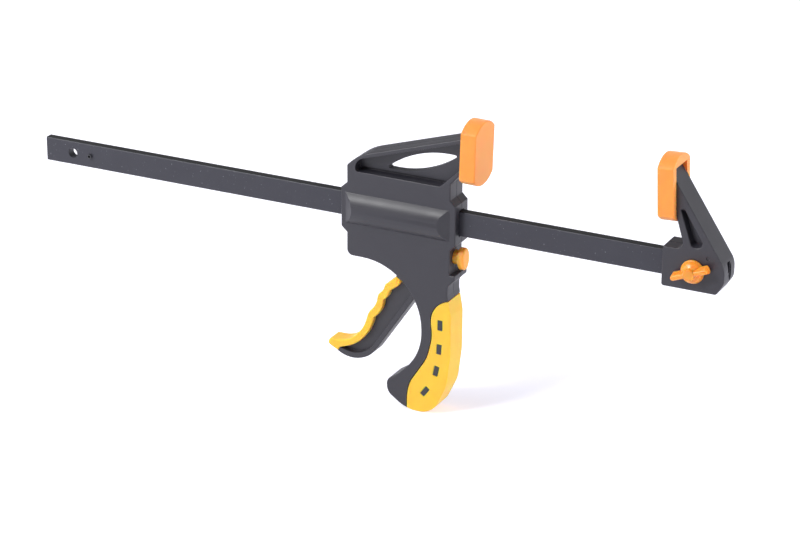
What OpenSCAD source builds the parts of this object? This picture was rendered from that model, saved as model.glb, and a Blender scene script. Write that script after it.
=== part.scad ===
// One-handed bar clamp. Origin: centre of the hanging hole, on the bar's axis.
// +X runs along the bar to the fixed jaw, +Z up to the pads, -Y is the side with the wing knob.

/* [Bar] */
// Length of the steel bar
bar_length = 462; // [440:1:700]
// Height of the bar's section
bar_height = 16; // [14:0.5:17]
// Thickness of the bar's section
bar_thickness = 6; // [4.5:0.5:6.5]
// Radius of the bar's long edges
bar_edge = 0.9; // [0.3:0.1:1.5]
// Distance from the bar's free end to the hanging hole
hole_from_end = 20; // [16:0.5:25]
// Diameter of the hanging hole
hole_d = 6.6; // [4:0.1:8]
// Distance from the hanging hole to the stop pin
stop_from_hole = 13.3; // [11:0.1:25]
// Outer diameter of the hollow stop pin
stop_pin_d = 3; // [2:0.1:4]
// Bore of the hollow stop pin
stop_pin_bore = 1.6; // [0.8:0.1:1.8]
// How far the stop pin stands out of each side of the bar
stop_pin_stand = 1.4; // [0.8:0.1:2]

/* [Jaws] */
// Opening between the two pads as shown
jaw_opening = 115.4; // [40:0.1:280]
// Height of the pads' centres above the bar's axis
pad_z = 47; // [45:0.5:49]
// Width of a pad
pad_w = 26.7; // [22:0.1:30]
// Height of a pad
pad_h = 40.3; // [38:0.1:46]
// Height of the straight part of a pad's sides
pad_side_h = 29.1; // [27:0.1:34]
// Thickness of a pad
pad_t = 10.2; // [9:0.1:13]
// Thickness of a pad's clamping wall, in front of its pocket
pad_wall = 3; // [2:0.1:4]
// Height of the tongue that a pad sits on
tongue_h = 27.2; // [22:0.1:28]
// Lean of the moving pad towards the fixed pad, in degrees
moving_lean = 1.5; // [0:0.1:3]
// Lean of the fixed pad towards the moving pad, in degrees
fixed_lean = 2.7; // [0:0.1:4]

/* [Body] */
// Width of the body and of both jaws
body_w = 18; // [17:0.1:20]
// Length of the body from its rear collar to its front collar
body_length = 78; // [76:0.5:84]
// How far the rear collar stands out
rear_step = 4; // [3:0.1:5]
// How far the front collar and the lip stand out
front_step = 3.6; // [2:0.1:4]
// Plastic round the bar in the collars, above and below it
collar_rim = 4.8; // [4:0.1:6]
// Wall of the shells
shell_wall = 2.4; // [1.8:0.1:2.6]
// Drop of the body's underside below the bar's axis
belly_drop = 31.4; // [30:0.1:33]
// Rise of the jaw's top at its back, as if its corner were sharp
jaw_back_h = 32.3; // [31:0.1:34]
// Rise of the jaw's top at the pad
jaw_front_h = 57; // [55:0.1:59]
// Height of the floor of the pockets in the jaw's sides
pocket_floor = 24.1; // [23.5:0.1:25]
// Thickness of the web between the jaw's pockets
jaw_web = 5; // [3:0.1:7]
// Distance from the front collar to the moving pad's back
pad_setback = 4.4; // [3.5:0.1:6]
// Length of the window in the jaw's web, tip to tip
window_l = 48.6; // [36:0.1:50]
// Height of the window in the jaw's web
window_h = 10.1; // [6:0.1:11]

/* [Handle] */
// Distance from the front collar back to the handle's finger side
handle_setback = 22.5; // [22:0.1:23.5]
// Front to back depth of the handle
handle_depth = 20.2; // [19.5:0.1:22]
// Drop of the handle's bottom below the bar's axis
handle_drop = 127.8; // [126:0.1:135]
// Radius of the arc behind the fingers
finger_r = 41; // [40:0.1:41.5]
// Thickness of the soft grip over the handle
grip_t = 1.9; // [1.4:0.1:2.2]
// Width of the lugs that hold the soft grip
lug_w = 3; // [2:0.1:4]
// Length of the lugs that hold the soft grip
lug_l = 6.2; // [4:0.1:8]

/* [Trigger] */
// Width of the trigger
trigger_w = 12; // [10:0.1:12.2]
// Width of the trigger's web between its rims
trigger_web = 5; // [3:0.1:7]
// Diameter of the pin that the trigger turns on
trigger_pin_d = 5; // [4:0.1:6]
// Distance of that pin behind the handle's finger side
pin_setback = 2.5; // [2:0.1:3]
// Drop of that pin below the bar's axis
pin_drop = 26; // [25.5:0.1:26.5]
// Distance from the pin up to the centre of the trigger's nose
nose_rise = 11; // [10.5:0.1:11.5]
// Distance from the pin back to the centre of the trigger's nose
nose_setback = 3.4; // [3:0.1:4]
// Radius of the trigger's nose
nose_r = 2.5; // [2:0.1:2.6]

/* [Plates and springs] */
// Thickness of the two drive plates and of the brake plate
plate_t = 3; // [2.4:0.1:3.2]
// Width of the plates
plate_w = 12; // [10:0.1:12.4]
// Wire diameter of the two springs round the bar
wire_d = 1.5; // [1.2:0.1:1.6]
// Number of curls of the drive spring
drive_curls = 8; // [5:1:9]
// Number of curls of the brake spring
brake_curls = 4; // [3:1:5]

/* [Button and knob] */
// Drop of the release button's axis below the bar's axis
button_drop = 22.8; // [22.5:0.1:23.2]
// Diameter of the release button's cap
button_d = 13.8; // [11:0.1:14]
// Thickness of the release button's cap
button_cap = 3.8; // [3:0.1:5]
// Diameter of the release button's neck
button_neck_d = 10; // [8:0.1:10.5]
// How far the release button can be pressed
button_travel = 3; // [2:0.1:3]
// Diameter of the wing knob's foot
knob_d = 15; // [12:0.1:18]
// Height of the wing knob over the jaw's side
knob_h = 7.8; // [6:0.1:10]
// Span of the wing knob, tip to tip
knob_span = 26.6; // [20:0.1:30]
// Diameter of the knob's stud
stud_d = 5; // [4:0.1:6]

/* [Hidden] */
$fn = 64;

// Clearances
slide_gap = 0.3;     // bar in its slots, on each side
plate_gap = 0.2;     // bar in the plates' holes, on each side
side_gap = 0.3;      // moving parts beside a shell
pin_gap = 0.05;      // pin, stud or button in its bore, on the radius
seat_gap = 0.2;      // a pad on its tongue
face_gap = 0.3;      // between facing parts that move apart
groove = 0.35;       // open groove round the soft grip

plastic = [0.27, 0.27, 0.30];
steel = [0.20, 0.20, 0.22];
bright = [0.70, 0.71, 0.73];
orange = [0.98, 0.55, 0.14];
amber = [0.98, 0.70, 0.20];

// Bar and jaw places along X
bar_start = -hole_from_end;
bar_end = bar_start + bar_length;
bar_in_jaw = 30.7;
fixed_x = bar_end - bar_in_jaw;
fixed_pad_ahead = 3.3;
fixed_face = fixed_x - fixed_pad_ahead;
moving_face = fixed_face - jaw_opening;
body_x = moving_face - pad_t - pad_setback - body_length;

// Body, in its own frame: x from the rear collar's face
half_w = body_w / 2;
inner_half = half_w - shell_wall;
collar_h = bar_height / 2 + collar_rim;
collar_slope = 3.6;
front_flat = body_length - front_step;
front_inner = front_flat - shell_wall;
jaw_under = 26.8;
pad_back = body_length + pad_setback;
handle_back = body_length - handle_setback;
handle_front = handle_back + handle_depth;
lip_top = 32.3;
lip_low = 35.3;
lip_foot = 40.2;
neck_step = 1.4;

// Outlines of the handle and the trigger as [x, z, corner radius], drawn for these three sizes.
// Below the belly their heights stretch with the handle.
drawn_back = 55.5;
drawn_belly = 31.4;
drawn_drop = 127.8;
stretch = (handle_drop - belly_drop) / (drawn_drop - drawn_belly);

// Heel of the handle, from its finger side
heel_edge = [[-23.1, -109.8, 4], [-23.1, -119.6, 6], [-12, -127.8, 12]];
// Palm side of the handle, from its front
palm_edge = [[-12.2, -127.8, 14], [-2.5, -107, 24], [0, -86, 40], [0, -60, 15]];
// Boundary of the soft grip, from the handle's front
grip_edge = [
    [10, -46, 0], [-5.5, -50.4, 3], [-14.5, -57.3, 8], [-11.7, -74, 25], [-15.1, -88.5, 30],
    [-28.1, -108.5, 20], [-30, -118, 15], [-29.1, -140, 0], [10, -140, 0]
];
// Lugs that hold the soft grip, from the handle's front: place, then lean from upright
lug_marks = [[-7.2, -66.6, 0], [-7.7, -82.7, 3], [-9.6, -97.7, 12], [-17.1, -113, 36]];
// Core inside the soft grip: its finger side, then its palm side with the way inwards
core_back = [[4.5, -46, 0], [2.5, -96, 0], [-11.1, -112, 0]];
core_front = [[-12.2, -127.8, 13], [-2.5, -107, 22], [0, -86, 38], [0, -60, 13]];
core_inwards = [[-0.5, 1], [-1, 0.33], [-1, 0], [-1, 0]];
// Screws in the handle, from its finger side, and the height of its rib
handle_screws = [[4.2, -76, 0], [-16.1, -117, 0]];
rib_z = -99;
rib_gap = 5;
// Hollow of the handle: its finger side, then its palm side
hollow_back = [[2.4, -66.5, 2], [2.4, -84, 12], [-8.6, -109.8, 3], [-8.6, -123.2, 3]];
hollow_front = [[-14, -123.2, 8], [-7.2, -106.8, 15], [-4.4, -85.8, 20], [-4.4, -66.5, 2]];
// Wavy front of the trigger's soft grip, bottom to top
grip_front = [
    [-4.3, -99, 0], [-11.4, -95.9, 1.2], [-11, -93.1, 1.6], [3, -90.2, 14], [13.7, -81.2, 12],
    [16.3, -69.2, 3.5], [22, -64.3, 3.5], [23.5, -55.4, 3.5], [27.7, -52.3, 3], [29.2, -46, 3.5],
    [37.3, -40.4, 1.5], [42.6, -41.6, 0]
];
// Line where that grip meets the trigger's frame, top to bottom
grip_seat = [
    [39.5, -47.1, 3], [34.2, -50.7, 3], [32.2, -56.1, 3], [28.3, -58.8, 3], [26.6, -66.8, 3],
    [21.6, -71.6, 3], [17.6, -84, 12], [7, -93.2, 14], [-2.6, -97, 1]
];
// Back of the trigger's frame, and the inside of its rim
frame_back = [[-4.3, -99, 0], [2, -101.8, 3], [16.9, -101.8, 26], [50.9, -51.1, 12]];
rim_inside = [[-1, -98.4, 0], [11, -98.6, 8], [18.8, -94.6, 14], [46.5, -51.6, 2], [41.8, -42.2, 0]];
// Way that the trigger swings through
swing_way = [[33.2, -26, 0], [33.2, -44, 0], [42, -56, 0], [53, -61, 0], [56, -61, 0], [56, -26, 0]];

// A height of the drawn outlines in this handle, and a list of points moved to x
function low(z) = z > -drawn_belly ? z : -belly_drop + (z + drawn_belly) * stretch;
function at(x, pts) = [for (p = pts) [x + p[0], low(p[1]), p[2] * min(1, stretch)]];
function on_trigger(pts) = at(handle_back - drawn_back, pts);

// Arc behind the fingers, and the arc that leads on from it to the heel
arc_r = min(finger_r, handle_back - rear_step - 8, 0.4255 * (handle_drop - belly_drop));
arc_c = [handle_back - arc_r, -belly_drop - arc_r];
arc_turn = 41;
arc_low = belly_drop + arc_r + arc_r * tan(arc_turn / 2);
heel_x = handle_back + heel_edge[0][0];
heel_turn = atan2(handle_back - heel_x, -low(heel_edge[0][1]) - arc_low);
heel_r = (arc_low - belly_drop - arc_r - 0.2) / tan(heel_turn / 2);

// Spring chamber round the bar and the bulge that covers it
spring_r = norm([bar_height, bar_thickness]) / 2 + 0.6;
chamber_r = spring_r + wire_d + 0.6;
bulge_r = chamber_r + 2.2;
chamber_start = 9.5;
chamber_end = front_flat - 5.9;

// Drive train, in the body's frame
pivot = [handle_back - pin_setback, -pin_drop];
nose = [pivot[0] - nose_setback, pivot[1] + nose_rise];
trigger_half = trigger_w / 2;
trigger_boss = 7.5;
pin_reach = half_w - 1.2;
front_plate_x = nose[0] - nose_r - 0.2 - plate_t;
rear_plate_x = front_plate_x - face_gap - plate_t;
plate_top = bar_height / 2 + 3.2;
plate_low = -nose[1] + 4;
bulkhead_x = nose[0] - 1.1;
bulkhead_t = 2.5;

// Brake plate: hangs from a notch, its lower end pushed forward against the button
brake_pivot = [front_inner - 6.5, bar_height / 2 + 5.5];
brake_arm = brake_pivot[1] + button_drop;
brake_lean = asin(button_travel / brake_arm);
brake_hole_h = (bar_height + plate_t * sin(brake_lean)) / cos(brake_lean) + plate_gap;
brake_tail = 4.2;
brake_head = 1.8;
brake_touch = brake_pivot[0] + brake_arm * tan(brake_lean) + plate_t / 2 / cos(brake_lean);
button_nose_r = 2;
button_back = brake_touch + button_nose_r * tan(brake_lean) + 0.1;
button_flange_x = brake_touch + brake_tail * tan(brake_lean) + 0.15;
button_flange_r = button_neck_d / 2 + 1.2;

// Screws: places in the side view
screw_r = 1.5;
screw_head_r = 2.8;
screw_head_h = 1.8;
screw_boss_r = 4.2;
screw_len = half_w + 4;
upper_screw_z = 17.3;
lower_screw_z = -23.5;
screw_in = 12.3;
neck_screw_in = 8.6;
neck_screw_z = 37.5;
screw_spots = [
    [screw_in, upper_screw_z], [front_flat - 1.5 * screw_in, upper_screw_z], [screw_in, lower_screw_z],
    [front_flat - neck_screw_in, -neck_screw_z], each at(handle_back, handle_screws)
];

// Fixed jaw, in its own frame: x from its collar's face
jaw_heel = 38.6;
jaw_collar = 12.4;
jaw_web_half = 3.5;
knob_x = 19.4;
nut_flats = stud_d * 1.6;
nut_t = stud_d * 0.8;

// Arc of a rounded corner at p between a and b. The radius is p's third number.
function unit(v) = v / norm(v);
function xz(p) = [p[0], p[1]];
function corner(a, p, b) =
    p[2] == 0 ? [xz(p)] :
    let (
        u = unit(xz(a) - xz(p)),
        v = unit(xz(b) - xz(p)),
        half = acos(u * v) / 2,
        centre = xz(p) + unit(u + v) * p[2] / sin(half),
        from = xz(p) + u * p[2] / tan(half) - centre,
        to = xz(p) + v * p[2] / tan(half) - centre,
        start = atan2(from[1], from[0]),
        turn = atan2(from[0] * to[1] - from[1] * to[0], from * to),
        steps = max(2, ceil(abs(turn) / 10))
    )
    [for (i = [0:steps]) centre + p[2] * [cos(start + turn * i / steps), sin(start + turn * i / steps)]];

// Outline of points [x, z, corner radius]
function outline(pts) =
    let (n = len(pts))
    [for (i = [0:n - 1]) each corner(pts[(i + n - 1) % n], pts[i], pts[(i + 1) % n])];

// A side-view outline made solid from y0 to y1
module side(y0, y1) {
    translate([0, y1, 0]) rotate([90, 0, 0]) linear_extrude(y1 - y0) children();
}

// A cylinder along X from x0 to x1
module rod_x(r, x0, x1) {
    translate([x0, 0, 0]) rotate([0, 90, 0]) cylinder(r = r, h = x1 - x0);
}

// A cylinder along Y at [x, z] from y0 to y1
module rod_y(at, r, y0, y1) {
    translate([at[0], y1, at[1]]) rotate([90, 0, 0]) cylinder(r = r, h = y1 - y0);
}

// The bar's section with a gap all round, made solid from x0 to x1
module bar_slot(gap, x0, x1) {
    size = [x1 - x0, bar_thickness + 2 * gap, bar_height + 2 * gap];
    translate([(x0 + x1) / 2, 0, 0]) cube(size, center = true);
}

// Body's side view, with both jaw and handle
function body_points() = outline([
    [0, -collar_h, 0],
    [rear_step, -collar_h - collar_slope, 0],
    [rear_step, -belly_drop, 4],
    [handle_back, -belly_drop, arc_r - 0.1],
    [handle_back, -arc_low, heel_r],
    each at(handle_back, heel_edge),
    each at(handle_front, palm_edge),
    [front_flat - neck_step, low(-46), 6],
    [front_flat - neck_step, -lip_foot, 1.5],
    [body_length, -lip_low, 0],
    [body_length, -lip_top, 0],
    [front_flat, -lip_top, 0],
    [front_flat, -collar_h - collar_slope, 0],
    [body_length, -collar_h, 0],
    [body_length, collar_h, 0],
    [front_flat, collar_h + collar_slope, 0],
    [front_flat, jaw_under, 0],
    [pad_back_x(jaw_under + pad_back - front_flat), jaw_under + pad_back - front_flat, 0],
    [pad_back_x(jaw_front_h), jaw_front_h, 0],
    [rear_step, jaw_back_h, 10],
    [rear_step, collar_h + collar_slope, 0],
    [0, collar_h, 0]
]);

// X of the moving pad's leaning back at height z
function pad_back_x(z) = pad_back + (z - pad_z) * tan(moving_lean);

// Area of the soft grip on the side view
function grip_points() = outline(at(handle_front, grip_edge));

// Handle's core inside the soft grip, drawn in by t from the handle's skin
function core_points(t) =
    let (
        back = at(handle_back, core_back),
        front = at(handle_front, core_front)
    )
    outline([
        each back,
        [back[2][0], t - handle_drop, 0],
        for (i = [0:len(front) - 1]) front[i] + t * [core_inwards[i][0], core_inwards[i][1], 0],
        [front_flat - neck_step - t, back[0][1], 0]
    ]);

// Mechanism chamber between the shells, with the slot that the trigger swings through
module chamber_outline() {
    way_low = low(-62);
    difference() {
        polygon(outline([
            [chamber_start, pocket_floor - shell_wall, 1],
            [chamber_start, -belly_drop + shell_wall, 2],
            [handle_back - 25.5, -belly_drop + shell_wall, 0],
            [handle_back - 25.5, way_low, 0],
            [handle_back + 4.5, way_low, 2],
            [handle_back + 4.5, low(-54), 2],
            [front_inner - 2, low(-46), 2],
            [front_inner, -lip_foot + 1, 1],
            [front_inner, pocket_floor - shell_wall, 1]
        ]));
        translate(arc_c) circle(r = arc_r + shell_wall, $fn = 120);
    }
    polygon(outline(on_trigger(swing_way)));
}

// Pocket in the side of the moving jaw
function pocket_points() = outline([
    [9.6, pocket_floor, 2.6],
    [front_flat - 6.8, pocket_floor, 1],
    [pad_back - 2.2, pocket_floor + pad_back - front_flat + 4.6, 0],
    [pad_back - 2.2, jaw_front_h - 4.3, 0],
    [9.6, jaw_back_h - 1.3, 3.4]
]);

// Window in the web: two arcs that meet in a tip at each end
module window_outline() {
    r = (window_l * window_l / 4 + window_h * window_h / 4) / window_h;
    rise = atan((jaw_front_h - jaw_back_h) / (pad_back - rear_step)) - 0.3;
    translate([pad_back - 29.9, (jaw_back_h + jaw_front_h) / 2 - 8.95]) rotate(rise) intersection() {
        translate([0, window_h / 2 - r]) circle(r = r, $fn = 180);
        translate([0, r - window_h / 2]) circle(r = r, $fn = 180);
    }
}

// Tongue for a pad: seen from the side, in the pad's frame, depth along +x
module tongue_outline(depth) {
    polygon([
        [-1, -tongue_h / 2], [depth, -tongue_h / 2], [depth, tongue_h / 2],
        [0.3, tongue_h / 2], [0.3, 9], [-1, 9]
    ]);
}

// Places its children in the moving pad's frame: x from the pad's back towards its face
module at_moving_pad() {
    translate([pad_back, 0, pad_z]) rotate([0, moving_lean, 0]) children();
}

// Places its children in the fixed pad's frame: x from the pad's back towards its face
module at_fixed_pad() {
    translate([fixed_x - fixed_pad_ahead + pad_t, 0, pad_z]) rotate([0, -fixed_lean, 0])
        mirror([1, 0, 0]) children();
}

// Places its children at a lug of the handle
module at_lug(mark) {
    translate([handle_front + mark[0], 0, low(mark[1])]) rotate([0, mark[2], 0]) children();
}

// Places its children in the body's frame
module in_body() {
    translate([body_x, 0, 0]) children();
}

// Half bulge over the spring chamber, with slanted ends
module bulge() {
    ramp = bulge_r - half_w;
    intersection() {
        rod_x(bulge_r, 0, body_length);
        translate([0, 0, -bulge_r - 1]) linear_extrude(2 * bulge_r + 2) polygon([
            [rear_step - 1, 0], [rear_step - 1, -half_w], [rear_step - 1 + 1.6 * ramp, -bulge_r - 1],
            [front_flat - 1.5 * ramp, -bulge_r - 1], [front_flat - 0.3, -half_w], [front_flat - 0.3, 0]
        ]);
    }
}

// Walls, bosses and ribs inside a shell
module shell_inside() {
    // Bulkhead that the brake spring rests on
    intersection() {
        rod_x(chamber_r + 0.5, bulkhead_x, bulkhead_x + bulkhead_t);
        translate([0, -2 * half_w, -half_w * 2]) cube([body_length, 2 * half_w, 4 * half_w]);
    }
    // Notch for the head of the brake plate
    for (x = [brake_pivot[0] - plate_t / 2 - side_gap - 2, brake_pivot[0] + plate_t / 2 + side_gap])
        translate([x, -inner_half - 1, brake_pivot[1] - 1])
            cube([2, inner_half + 1, pocket_floor - shell_wall - brake_pivot[1] + 2]);
    // Boss of the trigger's pin
    rod_y(pivot, trigger_pin_d / 2 + 2.5, -inner_half - 1, -trigger_half - side_gap);
    // Screw bosses
    for (s = screw_spots) rod_y(s, screw_boss_r, -inner_half - 0.4, 0);
    // Rib across the handle
    translate([handle_back + 1, -inner_half, low(rib_z)]) cube([handle_depth - 1 - rib_gap, inner_half, 2]);
}

// One shell, drawn as the near one: y from the outside at -half_w to the joint at 0
module shell() {
    core_half = half_w - grip_t;
    difference() {
        union() {
            difference() {
                union() {
                    side(-half_w, 0) difference() {
                        polygon(body_points());
                        translate([-groove, groove]) polygon(grip_points());
                    }
                    side(-core_half, 0) polygon(core_points(grip_t + 0.1));
                    bulge();
                }
                side(-inner_half, 1) chamber_outline();
                side(-core_half + shell_wall - 0.2, 1)
                    polygon(outline([each at(handle_back, hollow_back), each at(handle_front, hollow_front)]));
                rod_x(chamber_r, chamber_start, chamber_end);
            }
            shell_inside();
            // Lugs through the soft grip
            for (m = lug_marks) at_lug(m) translate([-lug_w / 2, -half_w, -lug_l / 2])
                cube([lug_w, half_w - core_half + 1, lug_l]);
            // Half tongue for the pad
            at_moving_pad() side(-half_w + 0.5, 0) tongue_outline(pad_t - pad_wall - seat_gap);
        }
        side(-half_w - 1, -jaw_web / 2) polygon(pocket_points());
        side(-half_w - 1, 1) window_outline();
        bar_slot(slide_gap, -1, body_length + 1);
        translate([0, 0, -button_drop]) rod_x(button_neck_d / 2 + pin_gap, front_inner - 1, body_length + 1);
        rod_y(pivot, trigger_pin_d / 2, -pin_reach, 1);
    }
}

module bar() {
    color(steel) difference() {
        translate([bar_start, 0, 0]) rotate([90, 0, 90]) linear_extrude(bar_length) polygon(outline([
            for (c = [[-1, -1], [1, -1], [1, 1], [-1, 1]])
                [c[0] * bar_thickness / 2, c[1] * bar_height / 2, bar_edge]
        ]));
        rod_y([0, 0], hole_d / 2, -bar_thickness, bar_thickness);
        rod_y([stop_from_hole, 0], stop_pin_d / 2, -bar_thickness, bar_thickness);
        rod_y([fixed_x + knob_x, 0], stud_d / 2 + plate_gap, -bar_thickness, bar_thickness);
    }
}

module stop_pin() {
    reach = bar_thickness / 2 + stop_pin_stand;
    color(bright) difference() {
        rod_y([stop_from_hole, 0], stop_pin_d / 2, -reach, reach);
        rod_y([stop_from_hole, 0], stop_pin_bore / 2, -reach - 1, reach + 1);
    }
}

// Fixed jaw's side view from its collar to the sloping back, below the pad
function fixed_points() = outline([
    [0, -jaw_collar, 0.8],
    [jaw_heel, -jaw_collar, 9.5],
    [jaw_heel, 4.8, 12],
    [fixed_back_x(pad_z + tongue_h / 2), pad_z + tongue_h / 2, 0],
    [fixed_back_x(pad_z + tongue_h / 2) - 4, pad_z + tongue_h / 2, 0],
    [pad_t - fixed_pad_ahead + 0.4, pad_z - tongue_h / 2 - 0.5, 0],
    [10.9, 20.9, 6],
    [13.8, jaw_collar, 4],
    [0, jaw_collar, 0.8]
]);

// X of the fixed jaw's sloping back at height z
function fixed_back_x(z) = jaw_heel - (z - 4.8) / 1.515;

module fixed_jaw() {
    pad_half = pad_h / 2;
    color(plastic) translate([fixed_x, 0, 0]) difference() {
        union() {
            // Body of the jaw, cut away where the pad goes
            difference() {
                side(-half_w, half_w) polygon(fixed_points());
                translate([-fixed_x, 0, 0]) at_fixed_pad() side(-body_w, body_w)
                    translate([0, -pad_half - 1]) square([3 * pad_t, pad_h + 2]);
            }
            // Tongue in the pad
            intersection() {
                translate([-fixed_x, 0, 0]) at_fixed_pad() side(-half_w + 0.5, half_w - 0.5)
                    tongue_outline(pad_t - pad_wall - seat_gap);
                side(-half_w, half_w) polygon([
                    [-pad_t, 0], [fixed_back_x(0), 0], [fixed_back_x(2 * pad_z), 2 * pad_z], [-pad_t, 2 * pad_z]
                ]);
            }
        }
        // Pockets in both sides
        for (s = [0, 1]) mirror([0, s, 0]) side(-half_w - 1, -jaw_web_half) polygon(outline([
            [10.2, 38.9, 0.8], [17.9, 14.1, 3.3], [26.7, 14.1, 3.3]
        ]));
        // Channel for the bar, and the core hole behind it
        bar_slot(slide_gap, -1, bar_in_jaw + face_gap);
        translate([bar_in_jaw, -2, -1]) cube([jaw_heel, 4, 7]);
        // Hole for the stud, and the nut's seat
        rod_y([knob_x, 0], stud_d / 2 + plate_gap, -half_w - 1, half_w + 1);
        rod_y([knob_x, 0], nut_flats / sqrt(3) + 0.05, half_w - nut_t, half_w + 1, $fn = 6);
    }
}

// A jaw pad: face at x = pad_t, pocket open at x = 0
module pad() {
    sagitta = (pad_h - pad_side_h) / 2;
    arc_r = (pad_w * pad_w / 4 + sagitta * sagitta) / (2 * sagitta);
    difference() {
        rotate([90, 0, 90]) linear_extrude(pad_t) intersection() {
            square([pad_w, pad_h], center = true);
            union() {
                for (s = [-1, 1]) translate([0, s * (pad_h / 2 - arc_r)]) circle(r = arc_r, $fn = 120);
            }
        }
        translate([-1, -half_w + 0.5 - seat_gap, -tongue_h / 2 - seat_gap])
            cube([pad_t - pad_wall + 1, body_w - 1 + 2 * seat_gap, tongue_h + 2 * seat_gap]);
    }
}

module fixed_jaw_pad() {
    color(orange) at_fixed_pad() pad();
}

module moving_jaw_pad() {
    color(orange) in_body() at_moving_pad() pad();
}

// Wing knob, with its foot on the near side of the fixed jaw
module wing_knob() {
    wing_lean = 20.5;
    hub_r = 3.9;
    foot = -half_w - face_gap;
    color(orange) translate([fixed_x + knob_x, foot, 0]) rotate([90, 0, 0]) difference() {
        union() {
            rotate_extrude() polygon(outline([
                [0, 0, 0], [knob_d / 2, 0, 0], [knob_d / 2, 2.6, 1.6], [hub_r + 0.2, knob_h - 2.6, 1],
                [hub_r, knob_h, 0.8], [0, knob_h, 0]
            ]));
            rotate(wing_lean) for (s = [0, 180]) rotate(s) translate([2, -1.6, 0.6])
                cube([knob_span / 2 - 2, 3.2, knob_h - 1.8]);
        }
        translate([0, 0, -1]) cylinder(r = stud_d / 2, h = knob_h - 1);
    }
}

module knob_stud() {
    color(bright) rod_y([fixed_x + knob_x, 0], stud_d / 2, -half_w - face_gap - knob_h + 2, half_w - 0.4);
}

module knob_nut() {
    color(bright) difference() {
        rod_y([fixed_x + knob_x, 0], nut_flats / sqrt(3), half_w - nut_t, half_w - 0.1, $fn = 6);
        rod_y([fixed_x + knob_x, 0], stud_d / 2 + pin_gap, 0, half_w + 1);
    }
}

module near_shell() {
    color(plastic) in_body() difference() {
        shell();
        // Pilot holes for the screws
        for (s = screw_spots) rod_y(s, screw_r, half_w - screw_len - 0.5, 1);
    }
}

module far_shell() {
    color(plastic) in_body() mirror([0, 1, 0]) difference() {
        shell();
        // Through holes for the screws, and seats for their heads
        for (s = screw_spots) {
            rod_y(s, screw_r + 0.1, -half_w - 1, 1);
            rod_y(s, screw_head_r + 0.3, -half_w - 1, -half_w + screw_head_h + 0.2);
        }
    }
}

module shell_screws() {
    head_under = half_w - screw_head_h - 0.2;
    color(bright) in_body() for (s = screw_spots) difference() {
        union() {
            rod_y(s, screw_r, half_w - screw_len, head_under + 0.5);
            rod_y(s, screw_head_r, head_under, half_w - 0.2);
        }
        // Cross recess
        for (a = [0, 90]) translate([s[0], half_w - 0.2, s[1]]) rotate([0, a, 0])
            cube([3, 2, 0.7], center = true);
    }
}

module handle_grip() {
    core_half = half_w - grip_t;
    color(amber) in_body() difference() {
        side(-half_w, half_w) intersection() {
            polygon(body_points());
            polygon(grip_points());
        }
        side(-core_half - 0.1, core_half + 0.1) polygon(core_points(grip_t));
        for (m = lug_marks) at_lug(m) cube([lug_w + 0.2, body_w + 2, lug_l + 0.2], center = true);
    }
}

module trigger() {
    boss = pivot;
    color(plastic) in_body() difference() {
        union() {
            // Web of the lever
            side(-trigger_web / 2, trigger_web / 2) polygon(lever_points());
            // Rim along the back and the hub at the top
            side(-trigger_half, trigger_half) difference() {
                polygon(lever_points());
                polygon(outline(on_trigger([each grip_seat, each rim_inside])));
            }
            rod_y(boss, trigger_boss, -trigger_half, trigger_half);
            side(-trigger_half, trigger_half) polygon([
                [boss[0] - 5.2, boss[1] + 5.4], [nose[0] - 2, nose[1] - 1.5],
                [nose[0] + 2.4, nose[1] + 0.5], [boss[0] + 5.4, boss[1] + 5.2]
            ]);
            rod_y(nose, nose_r, -trigger_half, trigger_half);
        }
        rod_y(boss, trigger_pin_d / 2 + pin_gap, -half_w, half_w);
    }
}

// Side view of the trigger's frame without its soft grip
function lever_points() = outline([
    each on_trigger([grip_front[len(grip_front) - 1], each grip_seat, each frame_back]),
    [pivot[0] + trigger_boss, pivot[1] - 2, 0], [pivot[0] - trigger_boss, pivot[1], 0]
]);

module trigger_grip() {
    color(amber) in_body() side(-trigger_half, trigger_half)
        polygon(outline(on_trigger([each grip_front, each grip_seat])));
}

module trigger_pin() {
    color(bright) in_body() rod_y(pivot, trigger_pin_d / 2, -pin_reach, pin_reach);
}

// An upright drive plate with a hole for the bar, its back at x
module drive_plate(x) {
    color(bright) in_body() difference() {
        translate([x, 0, 0]) rotate([90, 0, 90]) linear_extrude(plate_t) polygon(outline([
            [-plate_w / 2, -plate_low, 1], [plate_w / 2, -plate_low, 1],
            [plate_w / 2, plate_top, 1], [-plate_w / 2, plate_top, 1]
        ]));
        bar_slot(plate_gap, x - 1, x + plate_t + 1);
    }
}

module rear_drive_plate() {
    drive_plate(rear_plate_x);
}

module front_drive_plate() {
    drive_plate(front_plate_x);
}

module brake_plate() {
    top = brake_head;
    low = -brake_arm - brake_tail;
    color(bright) in_body() translate([brake_pivot[0], 0, brake_pivot[1]]) rotate([0, -brake_lean, 0])
        difference() {
            translate([-plate_t / 2, -plate_w / 2, low]) cube([plate_t, plate_w, top - low]);
            translate([0, 0, -brake_pivot[1]])
                cube([plate_t + 2, bar_thickness + 2 * plate_gap, brake_hole_h], center = true);
        }
}

// Centre line of a spring along X: straight ends, curls between
spring_sides = 6;
curl_rings = 8;
function spring_line(x0, x1, curls) =
    let (
        r = spring_r + wire_d / 2,
        n = curls * curl_rings,
        lead = wire_d
    )
    [
        [x0, r, 0],
        for (i = [0:n]) [x0 + lead + (x1 - x0 - 2 * lead) * i / n, r * cos(360 * i / curl_rings), r * sin(360 * i / curl_rings)],
        [x1, r, 0]
    ];

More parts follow.
